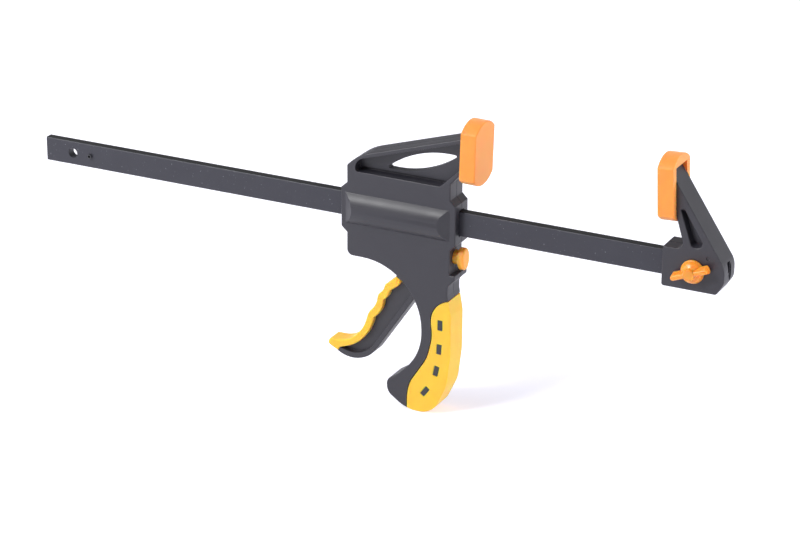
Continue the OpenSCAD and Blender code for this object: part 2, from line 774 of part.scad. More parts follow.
// Rings of points round a line, then one closed tube over them
function tangent(line, i) =
    i == 0 || i == len(line) - 1 ? [1, 0, 0] :
    unit(line[i + 1] - line[i - 1]);
function ring(line, i) =
    let (
        t = tangent(line, i),
        out = unit([0, line[i][1], line[i][2]]),
        b = unit(cross(t, out)),
        a = cross(b, t)
    )
    [for (k = [0:spring_sides - 1])
        line[i] + wire_d / 2 * (cos(360 * k / spring_sides) * a + sin(360 * k / spring_sides) * b)];

module spring(x0, x1, curls) {
    line = spring_line(x0, x1, curls);
    m = len(line);
    s = spring_sides;
    points = [for (i = [0:m - 1]) each ring(line, i)];
    sides = [
        for (i = [0:m - 2]) for (k = [0:s - 1])
            let (p = i * s + k, q = i * s + (k + 1) % s)
            each [[p, p + s, q], [q, p + s, q + s]]
    ];
    caps = [
        for (k = [1:s - 2]) each [[0, k, k + 1], [(m - 1) * s, (m - 1) * s + k + 1, (m - 1) * s + k]]
    ];
    polyhedron(points = points, faces = concat(sides, caps), convexity = 10);
}

// Least gap between neighbouring curls
function curl_gap(x0, x1, curls) = (x1 - x0 - 2 * wire_d) / curls - wire_d;

// Curls that fit a span, up to the number asked for
function curls_in(span, most) = min(most, floor((span[1] - span[0] - 2 * wire_d) / (wire_d + 0.5)));

drive_span = [chamber_start + 0.2, rear_plate_x - 0.2];
brake_span = [
    bulkhead_x + bulkhead_t + 0.2,
    brake_pivot[0] + (brake_pivot[1] - spring_r - wire_d) * tan(brake_lean) - plate_t / 2 / cos(brake_lean) - 0.2
];
echo(drive_spring_gap = curl_gap(drive_span[0], drive_span[1], curls_in(drive_span, drive_curls)));
echo(brake_spring_gap = curl_gap(brake_span[0], brake_span[1], curls_in(brake_span, brake_curls)));

module drive_spring() {
    color(bright) in_body() spring(drive_span[0], drive_span[1], curls_in(drive_span, drive_curls));
}

module brake_spring() {
    color(bright) in_body() spring(brake_span[0], brake_span[1], curls_in(brake_span, brake_curls));
}

module release_button() {
    neck_end = body_length + 0.6;
    color(orange) in_body() translate([0, 0, -button_drop]) {
        rod_x(button_nose_r, button_back, button_flange_x + 1);
        rod_x(button_flange_r, button_flange_x, front_inner - side_gap);
        rod_x(button_neck_d / 2, button_flange_x + 0.5, neck_end + 1);
        translate([neck_end, 0, 0]) rotate([0, 90, 0]) rotate_extrude() polygon(outline([
            [0, 0, 0], [button_d / 2, 0, 0.3], [button_d / 2, button_cap, 1.8], [0, button_cap, 0]
        ]));
    }
}

bar();
stop_pin();
fixed_jaw();
fixed_jaw_pad();
wing_knob();
knob_stud();
knob_nut();
near_shell();
far_shell();
shell_screws();
moving_jaw_pad();
handle_grip();
trigger();
trigger_grip();
trigger_pin();
rear_drive_plate();
front_drive_plate();
drive_spring();
brake_plate();
brake_spring();
release_button();
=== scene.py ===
# %% [markdown]
# A one-handed bar clamp: a flat steel bar, a fixed jaw at its end, and a body with a trigger that
# walks along it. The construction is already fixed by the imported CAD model. It could simply be
# given colours, but its edges are razor sharp and moulded edges are not. So the CAD model is
# loaded as a frame, the moulded parts are modelled again with their real edges, and every part
# gets a finish.

# %% Load the frame
import bpy
import math
from mathutils import Matrix, Vector


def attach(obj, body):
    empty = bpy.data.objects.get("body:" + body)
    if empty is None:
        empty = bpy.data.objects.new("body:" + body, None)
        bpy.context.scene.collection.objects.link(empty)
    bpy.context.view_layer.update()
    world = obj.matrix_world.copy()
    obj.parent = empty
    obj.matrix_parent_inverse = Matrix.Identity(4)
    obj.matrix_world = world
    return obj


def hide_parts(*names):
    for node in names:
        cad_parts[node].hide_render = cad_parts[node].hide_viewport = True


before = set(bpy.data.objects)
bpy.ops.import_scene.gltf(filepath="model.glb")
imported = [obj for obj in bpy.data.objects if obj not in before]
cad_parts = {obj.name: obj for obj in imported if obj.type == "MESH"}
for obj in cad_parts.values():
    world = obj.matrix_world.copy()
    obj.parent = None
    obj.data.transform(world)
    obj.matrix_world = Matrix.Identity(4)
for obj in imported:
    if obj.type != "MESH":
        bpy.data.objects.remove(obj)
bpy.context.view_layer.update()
print("CAD parts:", len(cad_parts))

# %% [markdown]
# Sizes below are in millimetres, as on a drawing, and Blender works in metres, so lengths are
# multiplied by MM on their way in. All could be measured from the frame's origin, but a drawing is
# easier to read from an edge of the piece. So the sliding body is drawn from the face of its rear
# collar, and the fixed jaw from the face of its own collar.

# %% Units and the two starting points
MM = 0.001
BODY_X = 200.0
JAW_X = 411.3
NEAR = 1e-3
print("body starts at x", BODY_X, "mm, fixed jaw at", JAW_X, "mm; nearer than", NEAR, "mm is equal")

# %% [markdown]
# Blender's operators act on whatever is selected, as tools act on what lies on the bench. A mesh
# could be built from lists of numbers instead, but operators show each step as it is done by hand.
# These helpers clear the bench, take one piece, open and close edit mode, and write a piece's
# place into its mesh, so that the patterns of the finishes stay where they belong.

# %% Taking a piece in hand
def deselect():
    bpy.ops.object.select_all(action="DESELECT")


def take(piece):
    deselect()
    piece.select_set(True)
    bpy.context.view_layer.objects.active = piece
    return piece


def edit(piece, kind="FACE"):
    take(piece)
    bpy.context.tool_settings.mesh_select_mode = (kind == "VERT", kind == "EDGE", kind == "FACE")
    bpy.ops.object.mode_set(mode="EDIT")


def leave():
    bpy.ops.object.mode_set(mode="OBJECT")


def face_outwards(piece):
    edit(piece)
    bpy.ops.mesh.select_all(action="SELECT")
    bpy.ops.mesh.normals_make_consistent(inside=False)
    leave()
    return piece


def settle(piece):
    take(piece)
    bpy.ops.object.transform_apply(location=True, rotation=True, scale=True)
    return piece


deselect()
print("selected now:", len(bpy.context.selected_objects))

# %% [markdown]
# Most of the clamp is moulded flat: a side view with some width. A side view is a list of corners,
# each with its rounding radius. A bevel could round the corners later, but it would need a width
# for every edge. So this helper turns them into short arcs first, as a compass does on a drawing:
# the arc's centre lies on the line that halves the corner, and a new point comes every few
# degrees.

# %% Rounded outlines
SHORTEST = 0.01


def corner(before, here, after, step):
    radius = here[2]
    spot = Vector(here[:2])
    if radius == 0:
        return [spot]
    u = (Vector(before[:2]) - spot).normalized()
    v = (Vector(after[:2]) - spot).normalized()
    half = u.angle(v) / 2
    centre = spot + (u + v).normalized() * radius / math.sin(half)
    start = spot + u * radius / math.tan(half) - centre
    end = spot + v * radius / math.tan(half) - centre
    turn = math.atan2(start.x * end.y - start.y * end.x, start.dot(end))
    steps = max(2, math.ceil(abs(math.degrees(turn)) / step))
    return [centre + Matrix.Rotation(turn * i / steps, 2) @ start for i in range(steps + 1)]


def rounded(points, step=6):
    count = len(points)
    outline = []
    for i, here in enumerate(points):
        outline += corner(points[i - 1], here, points[(i + 1) % count], step)
    return [p for i, p in enumerate(outline) if (p - outline[i - 1]).length > SHORTEST]


def moved(points, dx, dz):
    return [(x + dx, z + dz, radius) for x, z, radius in points]


tile = [(0, 0, 2), (10, 0, 2), (10, 10, 0), (0, 10, 0)]
print("a square with two round corners has", len(rounded(tile)), "points")

# %% [markdown]
# Long rims are rounded while a piece is still simple. A bevel modifier could do it, but it rounds
# every corner of the piece alike. Here the edges are picked by where they lie, as the eye picks
# them, and each gets the width that the real rim has.

# %% Bevels on chosen edges
def pick_edges(piece, test):
    mesh = piece.data
    for part in (mesh.vertices, mesh.edges, mesh.polygons):
        part.foreach_set("select", [False] * len(part))
    for edge in mesh.edges:
        a, b = (mesh.vertices[i].co / MM for i in edge.vertices)
        edge.select = test(a, b)
        if edge.select:
            for i in edge.vertices:
                mesh.vertices[i].select = True


def bevel_edges(piece, test, width):
    pick_edges(piece, test)
    edit(piece, "EDGE")
    bpy.ops.mesh.bevel(offset=width * MM, segments=3, profile=0.5, affect="EDGES",
                       clamp_overlap=False, loop_slide=False, miter_outer="SHARP")
    leave()


def edge_at(y):
    return lambda a, b: abs(a.y - y) < NEAR and abs(b.y - y) < NEAR


print("an edge at y = 2 is picked:", edge_at(2)(Vector((0, 2, 0)), Vector((5, 2, 1))))

# %% [markdown]
# A plate is a moulding's flat side view made solid. It could be a bevelled curve, but the cuts
# that follow need a mesh. So it starts as Blender's circle with as many points as the outline. The
# points are set on the outline, and the ring is filled and extruded to its width. Blocks and rods,
# the plain tools for slots and holes, are Blender's cube and cylinder at their size and place.

# %% Plates, blocks and rods
ROD_SIDES = 64


def plate(name, points, y0, y1, rim=0.0, rims=None):
    outline = rounded(points)
    deselect()
    bpy.ops.mesh.primitive_circle_add(vertices=len(outline), radius=MM, fill_type="NOTHING")
    piece = bpy.context.object
    piece.name = name
    for vertex, spot in zip(piece.data.vertices, outline):
        vertex.co = (spot.x * MM, y0 * MM, spot.y * MM)
    edit(piece)
    bpy.ops.mesh.select_all(action="SELECT")
    bpy.ops.mesh.edge_face_add()
    bpy.ops.mesh.extrude_region_move(TRANSFORM_OT_translate={"value": (0, (y1 - y0) * MM, 0)})
    bpy.ops.mesh.select_all(action="SELECT")
    bpy.ops.mesh.normals_make_consistent(inside=False)
    leave()
    for y in (rims if rims is not None else (y0, y1)):
        if rim:
            bevel_edges(piece, edge_at(y), rim)
    return piece


def block(name, low, high):
    middle = [(a + b) / 2 * MM for a, b in zip(low, high)]
    deselect()
    bpy.ops.mesh.primitive_cube_add(size=1, location=middle)
    piece = bpy.context.object
    piece.name = name
    piece.scale = [(b - a) * MM for a, b in zip(low, high)]
    return settle(piece)


def rod(name, start, end, radius, sides=ROD_SIDES):
    start, end = Vector(start) * MM, Vector(end) * MM
    deselect()
    bpy.ops.mesh.primitive_cylinder_add(
        vertices=sides, radius=radius * MM, depth=(end - start).length, location=(start + end) / 2,
        rotation=(end - start).to_track_quat("Z", "Y").to_euler())
    piece = bpy.context.object
    piece.name = name
    return settle(piece)


print("a rod has", ROD_SIDES, "sides unless told otherwise")

# %% [markdown]
# The button and the knob's foot are round. Cylinders could be stacked for them, but only a section
# can hold the small roundings of a turned edge. So such a piece is spun: half of its section is
# drawn beside the axis and turned once round it, and the points that meet are merged.

# %% Spun parts
MERGE, SPIN_STEPS = 2e-6, 72


def spun(name, profile, centre, axis, out):
    line = rounded(profile, step=9)
    centre, axis, out = Vector(centre) * MM, Vector(axis), Vector(out)
    deselect()
    bpy.ops.mesh.primitive_circle_add(vertices=len(line), radius=MM, fill_type="NOTHING")
    piece = bpy.context.object
    piece.name = name
    for vertex, spot in zip(piece.data.vertices, line):
        vertex.co = centre + (out * spot.x + axis * spot.y) * MM
    edit(piece, "EDGE")
    bpy.ops.mesh.select_all(action="SELECT")
    bpy.ops.mesh.spin(steps=SPIN_STEPS, angle=math.tau, center=centre, axis=axis)
    bpy.ops.mesh.select_all(action="SELECT")
    bpy.ops.mesh.remove_doubles(threshold=MERGE)
    bpy.ops.mesh.dissolve_degenerate(threshold=MERGE)
    bpy.ops.mesh.delete_loose()
    bpy.ops.mesh.select_all(action="SELECT")
    bpy.ops.mesh.normals_make_consistent(inside=False)
    leave()
    return piece


print("a spun piece has a step every", 360 / SPIN_STEPS, "degrees")

# %% [markdown]
# Pockets, slots and bosses come from the steel mould, which a mesh could follow by insets and
# extrusions, face by face. Cutting and joining whole shapes is closer to how the mould is made,
# and it keeps each size where it can be read. The Boolean modifiers are exact and are applied
# straight away.

# %% Cut and join
def combine(piece, tools, operation):
    for tool in tools:
        take(piece)
        modifier = piece.modifiers.new(operation, "BOOLEAN")
        modifier.operation = operation
        modifier.solver = "EXACT"
        modifier.object = tool
        bpy.ops.object.modifier_apply(modifier=modifier.name)
        bpy.data.objects.remove(tool)
    return piece


def cut(piece, *tools):
    return combine(piece, tools, "DIFFERENCE")


def join(piece, *tools):
    return combine(piece, tools, "UNION")


def keep(piece, *tools):
    return combine(piece, tools, "INTERSECT")


print("Boolean steps: cut takes away, join adds, keep leaves what both share")

# %% [markdown]
# No moulded edge is sharp, so at the end each piece gets a small bevel on the edges that are still
# sharp, and smooth shading that stops at real corners. A subdivision surface could soften it too,
# but it would move the flat faces. A bevel only takes material away, so points that it throws past
# the piece's old box at a narrow corner are set back. Weighted normals let the large faces decide,
# so that flat faces look flat.

# %% Soft edges
FLAT, SMOOTH, SHARP = 0.5, 32, 38


def soften(piece, width):
    edit(piece)
    bpy.ops.mesh.select_all(action="SELECT")
    bpy.ops.mesh.remove_doubles(threshold=2 * MERGE)
    bpy.ops.mesh.dissolve_limited(angle_limit=math.radians(FLAT))
    leave()
    if width:
        spots = [vertex.co for vertex in piece.data.vertices]
        low, high = ([pick(spot[i] for spot in spots) for i in range(3)] for pick in (min, max))
        modifier = piece.modifiers.new("edges", "BEVEL")
        modifier.width = width * MM
        modifier.segments = 2
        modifier.limit_method = "ANGLE"
        modifier.angle_limit = math.radians(SHARP)
        modifier.use_clamp_overlap = False
        take(piece)
        bpy.ops.object.modifier_apply(modifier=modifier.name)
        for vertex in piece.data.vertices:
            vertex.co = [min(max(c, a), b) for c, a, b in zip(vertex.co, low, high)]
    take(piece)
    bpy.ops.object.shade_smooth_by_angle(angle=math.radians(SMOOTH))
    modifier = piece.modifiers.new("normals", "WEIGHTED_NORMAL")
    modifier.keep_sharp = True
    bpy.ops.object.modifier_apply(modifier=modifier.name)
    return piece


print("bevelled over", SHARP, "degrees, shaded smooth under", SMOOTH, "degrees")

# %% [markdown]
# What is moulded twice is modelled once. A linked copy would be lighter, but each piece needs its
# own mesh to be cut and moved on its own. A mirrored piece is inside out, so its faces are turned
# back.

# %% Copies, mirror images and a report
def copy_of(piece, name):
    take(piece)
    bpy.ops.object.duplicate()
    twin = bpy.context.object
    twin.name = name
    return twin


def mirrored(piece, name):
    twin = copy_of(piece, name)
    twin.scale = (1, -1, 1)
    return face_outwards(settle(twin))


def report(piece):
    size = " x ".join(f"{d / MM:.1f}" for d in piece.dimensions)
    print(f"{piece.name}: {len(piece.data.polygons)} faces, {size} mm")


report(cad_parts["bar"])

# %% [markdown]
# The side view of the sliding body: rear collar, finger hollow, handle with its heel, front collar
# and jaw. It could be traced by eye, but the mechanism inside needs its exact places. So the
# corners follow the CAD model's outlines and bend only where the real moulding is rounder. The
# grip's boundary crosses the handle, and the core's edge runs a given inset inside the body's.

# %% Outlines of the body and the handle
HALF = 9.0
BODY_EDGE = [
    (0, -12.8, 0), (4, -16.4, 0), (4, -31.4, 4), (55.5, -31.4, 40.9), (55.5, -89, 35.4),
    (39.2, -105.3, 1.2), (31.6, -110.3, 5), (32.2, -118.6, 7.6), (45.5, -127.8, 23),
    (63.5, -127.8, 14), (73.2, -107, 24), (75.7, -86, 40), (75.7, -60, 15), (73.2, -46, 6),
    (73.2, -40.2, 4.5), (78, -35.3, 0), (78, -32.3, 0), (74.4, -32.3, 0), (74.4, -16.4, 0),
    (78, -12.8, 0), (78, 12.8, 0), (74.4, 16.4, 0), (74.4, 26.8, 0), (82.08, 34.8, 0),
    (82.66, 57, 0), (11.8, 35.25, 35), (4.1, 27.8, 1.4), (4.1, 16.4, 0), (0, 12.8, 0),
]
GRIP_EDGE = [
    (85.7, -45.6, 0), (62.3, -54, 15), (62.3, -66.5, 10), (63.4, -75.2, 28), (59.9, -90.3, 30),
    (47.5, -109.7, 22), (46.2, -118.3, 20), (46.2, -140, 0), (85.7, -140, 0),
]


def core_edge(inset):
    low = inset - 127.8
    return [
        (60, -46, 0), (58, -96, 0), (44.4, -112, 0), (44.4, low, 0),
        (63.5 - 0.5 * inset, low, 13), (73.2 - inset, -107 + 0.33 * inset, 22),
        (75.7 - inset, -86, 38), (75.7 - inset, -60, 13), (73 - inset, -46, 0),
    ]


print("body outline:", len(rounded(BODY_EDGE)), "points")

# %% [markdown]
# Each pad stands on a tongue that leans a little, so that the pads meet flat when the bar bends
# under load. A tongue could be drawn leaning, but its corners would lose their round numbers. So
# anything on a tongue is drawn upright at the origin and then set in the pad's frame. The fixed
# jaw faces the moving one, so its frame is also turned half round.

# %% Pad frames
MOVING_PAD, MOVING_LEAN = (0.2824, 0, 0.047), 1.5
FIXED_PAD, FIXED_LEAN = (0.4182, 0, 0.047), -2.7


def pad_frame(which):
    if which == "moving":
        lean = Matrix.Rotation(math.radians(MOVING_LEAN), 4, "Y")
        return Matrix.Translation(MOVING_PAD) @ lean
    lean = Matrix.Rotation(math.radians(FIXED_LEAN), 4, "Y")
    return Matrix.Translation(FIXED_PAD) @ lean @ Matrix.Rotation(math.pi, 4, "Z")


def into(piece, matrix):
    piece.data.transform(matrix)
    return piece


def along(x):
    return Matrix.Translation((x * MM, 0, 0))


def turned_at(x, z, degrees):
    return Matrix.Translation((x * MM, 0, z * MM)) @ Matrix.Rotation(math.radians(degrees), 4, "Y")


def into_body(piece):
    return into(piece, along(BODY_X))


TONGUE = [(-1, -13.6, 0), (7, -13.6, 0), (7, 13.6, 0), (0.3, 13.6, 0), (0.3, 9, 0), (-1, 9, 0)]
TONGUE_HALF = 8.5
print("pads at x", MOVING_PAD[0] / MM, "and", FIXED_PAD[0] / MM, "mm")

# %% [markdown]
# Over the springs the body swells into a barrel with slanted ends. A sphere or a sculpted hump
# could stand in for it, but the real one is a plain cylinder, cut off at a slant in front and
# behind. So the slanted shape is drawn as seen from above, made solid, and kept only where the
# barrel is.

# %% The bulge over the springs
BARREL_RADIUS = 13.44


def bulge():
    barrel = rod("barrel", (0, 0, 0), (78, 0, 0), BARREL_RADIUS, 160)
    ends = [(3, 0, 0), (3, -9, 0), (10.9, -14.5, 0), (65.8, -14.5, 0), (74.1, -9, 0), (74.1, 0, 0)]
    slants = plate("slants", ends, -20, 20)
    slants.rotation_euler = (math.radians(-90), 0, 0)
    return keep(face_outwards(settle(slants)), barrel)


print("the barrel stands", round(BARREL_RADIUS - HALF, 2), "mm proud of the side")

# %% [markdown]
# The body is two mirrored shells that meet in the middle. It could be one solid, but the real one
# has a parting line and a hollow inside, and the light that falls into its openings shows it. One
# shell is modelled from the outside in. First comes its outside: the plate with its rounded rim,
# the step where the soft grip begins, the core that the grip is moulded on, and the bulge.

# %% The outside of a shell
CORE_INSET = 2.0
RIM, PARTING_RIM = 0.9, 0.45
near_shell = plate("near_shell", BODY_EDGE, -HALF, 0, rim=RIM, rims=[-HALF])
bevel_edges(near_shell, edge_at(0), PARTING_RIM)
hump = bulge()
cut(near_shell, plate("grip", moved(GRIP_EDGE, -0.35, 0.35), -10, 1))
join(near_shell, plate("core", core_edge(CORE_INSET), -7.1, 0), hump)
cut(near_shell, block("far", (-5, 0, -150), (100, 20, 80)))
report(near_shell)

# %% [markdown]
# Inside, the shell is hollow, with room for the drive plates, the springs and the swinging
# trigger, and because plastic only cools evenly in walls of one thickness. The hollow could be an
# inset copy of the outside, but its real shape follows what moves in it. So the rooms are drawn as
# their own plates: the chamber, less the hollow where the fingers go, the lever's way down, and
# the handle's inside.

# %% The hollow of a shell
CHAMBER = [
    (9.5, 21.7, 1), (9.5, -29, 2), (30, -29, 0), (30, -62, 0), (60, -62, 2), (60, -54, 2),
    (70, -46, 2), (72, -39.2, 1), (72, 21.7, 1),
]
LEVER_WAY = [(33.2, -26, 0), (33.2, -44, 0), (42, -56, 0), (53, -61, 0), (56, -61, 0), (56, -26, 0)]
HOLLOW = [
    (57.9, -66.5, 2), (57.9, -84, 12), (46.9, -109.8, 3), (46.9, -123.2, 3), (61.7, -123.2, 8),
    (68.5, -106.8, 15), (71.3, -85.8, 20), (71.3, -66.5, 2),
]
CHAMBER_FLOOR, HANDLE_FLOOR = -6.6, -4.9
chamber = plate("chamber", CHAMBER, CHAMBER_FLOOR, 1)
cut(chamber, rod("fingers", (14.5, -20, -72.4), (14.5, 20, -72.4), 43.4, 160))
join(chamber, plate("way", LEVER_WAY, CHAMBER_FLOOR, 1))
cut(near_shell, chamber, plate("hollow", HOLLOW, HANDLE_FLOOR, 1),
    rod("spring room", (9.5, 0, 0), (68.5, 0, 0), 11.24, 96))
report(near_shell)

# %% [markdown]
# Thin walls bend, so real shells stand on ribs and bosses, and these also hold the mechanism: a
# bulkhead between the two springs, two stops with the brake plate's notch between them, a boss for
# the trigger's pin and one for each screw. They could be left out where nobody looks, but they
# show through the slots. The lugs outside lock the soft grip, and the tongue carries the pad.

# %% Ribs, bosses and lugs
PIVOT = (53, -26)
SCREWS = [(12.3, 17.3), (55.95, 17.3), (12.3, -23.5), (65.8, -37.5), (59.7, -76), (39.4, -117)]
LUGS = [(68.5, -66.6, 0), (68, -82.7, 3), (66.1, -97.7, 12), (58.6, -113, 36)]
INNER_FACE, BOSS_RADIUS = -0.05, 4.2
bulkhead = rod("bulkhead", (48.5, 0, 0), (51, 0, 0), 11.7, 96)
cut(bulkhead, block("far", (40, 0, -20), (60, 20, 20)))
join(near_shell, bulkhead)
for x in (61.7, 67.3):
    join(near_shell, block("notch", (x, -7.6, 12.5), (x + 2, INNER_FACE, 22.7)))
join(near_shell, rod("pin boss", (PIVOT[0], -7.6, PIVOT[1]), (PIVOT[0], -6.3, PIVOT[1]), 5))
for x, z in SCREWS:
    join(near_shell, rod("boss", (x, -7, z), (x, INNER_FACE, z), BOSS_RADIUS))
join(near_shell, block("rib", (56.5, CHAMBER_FLOOR, -99), (70.7, INNER_FACE, -97)))
for x, z, lean in LUGS:
    lug = block("lug", (-1.55, -HALF, -3.3), (1.55, -6.1, 3.3))
    join(near_shell, into(lug, turned_at(x, z, lean)))
tongue = into(plate("tongue", TONGUE, -TONGUE_HALF, INNER_FACE), pad_frame("moving"))
join(near_shell, into(tongue, along(-BODY_X)))
report(near_shell)

# %% [markdown]
# The jaw's web has a lens-shaped window, which saves plastic where little force runs. It could be
# a squeezed circle, but its ends are pointed. So its edge is two equal arcs that meet in two
# slightly rounded tips, and the whole lens lies at the slant of the jaw's back.

# %% The window in the jaw's web
WINDOW_LENGTH, WINDOW_HEIGHT, WINDOW_SLANT = 50.4, 10.1, 17.2


def window():
    middle, tip, steps = (52.5, 35.7), 0.8, 24
    r = (WINDOW_LENGTH ** 2 + WINDOW_HEIGHT ** 2) / 4 / WINDOW_HEIGHT
    half_angle = math.asin(WINDOW_LENGTH / 2 / r)
    arc = []
    for side in (1, -1):
        for i in (0, *range(2, steps - 1)):
            a = half_angle - 2 * half_angle * i / steps
            spot = Vector((math.sin(a) * r, math.cos(a) * r + WINDOW_HEIGHT / 2 - r)) * side
            spot = Matrix.Rotation(math.radians(WINDOW_SLANT), 2) @ spot
            arc.append((spot.x + middle[0], spot.y + middle[1], 0 if i else tip))
    return plate("window", arc, -10, 1)


print("window:", WINDOW_LENGTH, "x", WINDOW_HEIGHT, "mm, slanting by", WINDOW_SLANT, "degrees")

# %% [markdown]
# Last come the openings of the shell: the wide pocket beside the web with a narrow trench along
# its lower edge, the window, the slot for the bar, and the holes for the button and the pin. They
# could be cut before the ribs, but then a rib could close them again. The pocket's lower and front
# edges catch a fine line of light on the real jaw, so they get a bevel of their own. It stops
# short of the rear corner, where the jaw's rim comes too near for two bevels.

# %% The openings of a shell
BUTTON_Z, BUTTON_HOLE, PIN_HOLE = -22.8, 4.6, 2.5
SLOT_Y, SLOT_Z = 3.3, 8.3
MOUTH_RIM, FRONT_SLOPE = 0.6, 1.0756
POCKET = [(9.9, 24.4, 2.2), (67.4, 24.4, 0.8), (80.2, 36.3, 0), (80.2, 53.5, 0), (9.9, 31.9, 7)]
TRENCH = [(10.6, 24.45, 0.8), (67, 24.45, 0.3), (68.6, 26, 0.3), (10.6, 26, 0.6)]


def on_mouth(spot):
    on_front = abs(spot.x - 67.4 - FRONT_SLOPE * (spot.z - 24.4)) < 0.8
    along_edge = 12 < spot.x < 80.6 and spot.z > 24.2 and (spot.z < 24.6 or on_front)
    return abs(spot.y + HALF) < NEAR and along_edge


cut(near_shell, plate("pocket", POCKET, -10, -2.5, rim=0.3, rims=[-2.5]),
    plate("trench", TRENCH, -4, -0.9), window(),
    block("bar slot", (-1, -SLOT_Y, -SLOT_Z), (79, SLOT_Y, SLOT_Z)),
    rod("button hole", (71, 0, BUTTON_Z), (79, 0, BUTTON_Z), BUTTON_HOLE),
    rod("pin hole", (PIVOT[0], -7.8, PIVOT[1]), (PIVOT[0], 1, PIVOT[1]), PIN_HOLE))
bevel_edges(near_shell, lambda a, b: on_mouth(a) and on_mouth(b), MOUTH_RIM)
report(near_shell)

# %% [markdown]
# The far shell is the mirror image. It could be modelled on its own, but a mirrored copy keeps the
# two in step, and it is made before the screws make them differ. The far shell has clear holes for
# the screws' shanks and seats for their heads. The near shell takes the screws' tips in blind
# holes, so that its outside stays closed.

# %% Two shells
PILOT_RADIUS, SHANK_RADIUS, SEAT_RADIUS = 1.5, 1.6, 3.1
far_shell = mirrored(near_shell, "far_shell_skin")
for x, z in SCREWS:
    cut(near_shell, rod("pilot", (x, -4.5, z), (x, 1, z), PILOT_RADIUS, 32))
    cut(far_shell, rod("shank", (x, -1, z), (x, 10, z), SHANK_RADIUS, 32),
        rod("seat", (x, 7, z), (x, 10, z), SEAT_RADIUS))
near_shell.name = "near_shell_skin"
for half, node in ((near_shell, "near_shell"), (far_shell, "far_shell")):
    into_body(soften(half, 0.22))
    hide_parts(node)
    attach(half, "moving_jaw")
    report(half)

# %% [markdown]
# The soft grip is moulded over the handle. It could be a thickened copy of the handle's skin, but
# on the real clamp the grip and the shells share one smooth outside. So it is the same side view,
# cut along the grip's boundary, with room inside for the core and a tenth of a millimetre of air.
# Four windows on each side let the core's lugs look through.

# %% Handle grip
GRIP_ROOM_INSET = 1.9
handle_grip = plate("handle_grip_skin", BODY_EDGE, -HALF, HALF, rim=RIM)
cut(handle_grip, plate("core", core_edge(GRIP_ROOM_INSET), -7.2, 7.2))
keep(handle_grip, plate("area", GRIP_EDGE, -20, 20))
for x, z, lean in LUGS:
    hole = block("lug window", (-1.65, -12, -3.4), (1.65, 12, 3.4))
    cut(handle_grip, into(hole, turned_at(x, z, lean)))
into_body(soften(handle_grip, 0.3))
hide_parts("handle_grip")
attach(handle_grip, "moving_jaw")
report(handle_grip)

# %% [markdown]
# The trigger is a black lever with a soft grip in front. The two could be drawn apart, but then
# they would hardly fit. So they share one wavy line, the grip's seat: it is the front of the lever
# and the back of the grip. The web's outline runs half a millimetre before that line, so that the
# pocket beside the web reaches right up to the grip and has a rim only behind.

# %% Trigger outlines
GRIP_SEAT = [
    (40, -43.2, 0.8), (39.1, -46.4, 7.5), (32.3, -51.5, 0.8), (31.3, -55.5, 10), (27.9, -58.5, 0.8),
    (27.3, -65.5, 16), (21.1, -71.8, 0.8), (19.3, -79.9, 29), (9.6, -92.1, 25), (-2.6, -96.4, 0.8),
]
GRIP_FRONT = [
    (-4.3, -99, 0), (-11.5, -95.2, 2), (-10, -91.5, 1.6), (2.7, -91.3, 18), (13.8, -80.6, 23),
    (17.2, -68.9, 10), (23.1, -62.1, 14), (23.8, -55.7, 4.5), (27.9, -51.4, 6), (28.9, -47.6, 3.5),
    (32.5, -45.2, 8), (36.6, -41, 0.8),
]
FRAME_BACK = [(-4.3, -99, 0), (12.7, -108, 20), (50.9, -51.1, 12)]
RIM_INSIDE = [(-2.4, -96.5, 0), (14.2, -100.7, 18), (46.8, -51.2, 2), (42.5, -42.5, 0)]
WEB = moved(GRIP_SEAT[:-1], -0.5, 0.4) + RIM_INSIDE
LEVER = [
    (37.3, -39.2, 0.7), (36.5, -41, 0), *GRIP_SEAT, *FRAME_BACK, (60.5, -28, 0), (45.5, -26, 0),
    (44, -36.2, 0),
]
NECK = [(48.6, -21.6, 0), (48.1, -16.2, 0), (51.2, -14.8, 0), (57.4, -22, 0)]
print("lever outline:", len(rounded(LEVER)), "points")

# %% [markdown]
# The lever has a thin web inside a rim, as moulded levers do, because thick plastic sinks in as it
# cools. The rim could be built up on a thin plate, but taking a pocket out of each side of a full
# plate is what the mould does, and it keeps the rim's width even. The hub turns on the pin, and
# the nose at the end of the neck pushes the drive plates.

# %% Trigger
NOSE, NOSE_RADIUS = (49.6, -15), 2.5
HUB_RADIUS, BORE_RADIUS = 7.5, 2.55
LEVER_HALF, WEB_HALF = 6, 2.5
trigger = plate("trigger_skin", LEVER, -LEVER_HALF, LEVER_HALF, rim=0.5)
cut(trigger, plate("left", WEB, -10, -WEB_HALF), plate("right", WEB, WEB_HALF, 10))
join(trigger,
     rod("hub", (PIVOT[0], -LEVER_HALF, PIVOT[1]), (PIVOT[0], LEVER_HALF, PIVOT[1]), HUB_RADIUS),
     plate("neck", NECK, -5.9, 5.9),
     rod("nose", (NOSE[0], -5.8, NOSE[1]), (NOSE[0], 5.8, NOSE[1]), NOSE_RADIUS))
cut(trigger, rod("bore", (PIVOT[0], -9, PIVOT[1]), (PIVOT[0], 9, PIVOT[1]), BORE_RADIUS))
into_body(soften(trigger, 0.22))
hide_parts("trigger")
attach(trigger, "trigger_lever")
report(trigger)

# %% [markdown]
# The soft grip on the trigger is one wavy strip that the fingers pull on. The waves could be
# sculpted, but they are alike across the whole width, so a plate with a wide round rim has them at
# once. All its edges are round by then, so it gets smooth shading and no second bevel.

# %% Trigger grip
trigger_grip = plate("trigger_grip_skin", GRIP_FRONT + GRIP_SEAT, -LEVER_HALF, LEVER_HALF, rim=0.75)
into_body(soften(trigger_grip, 0))
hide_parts("trigger_grip")
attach(trigger_grip, "trigger_lever")
report(trigger_grip)

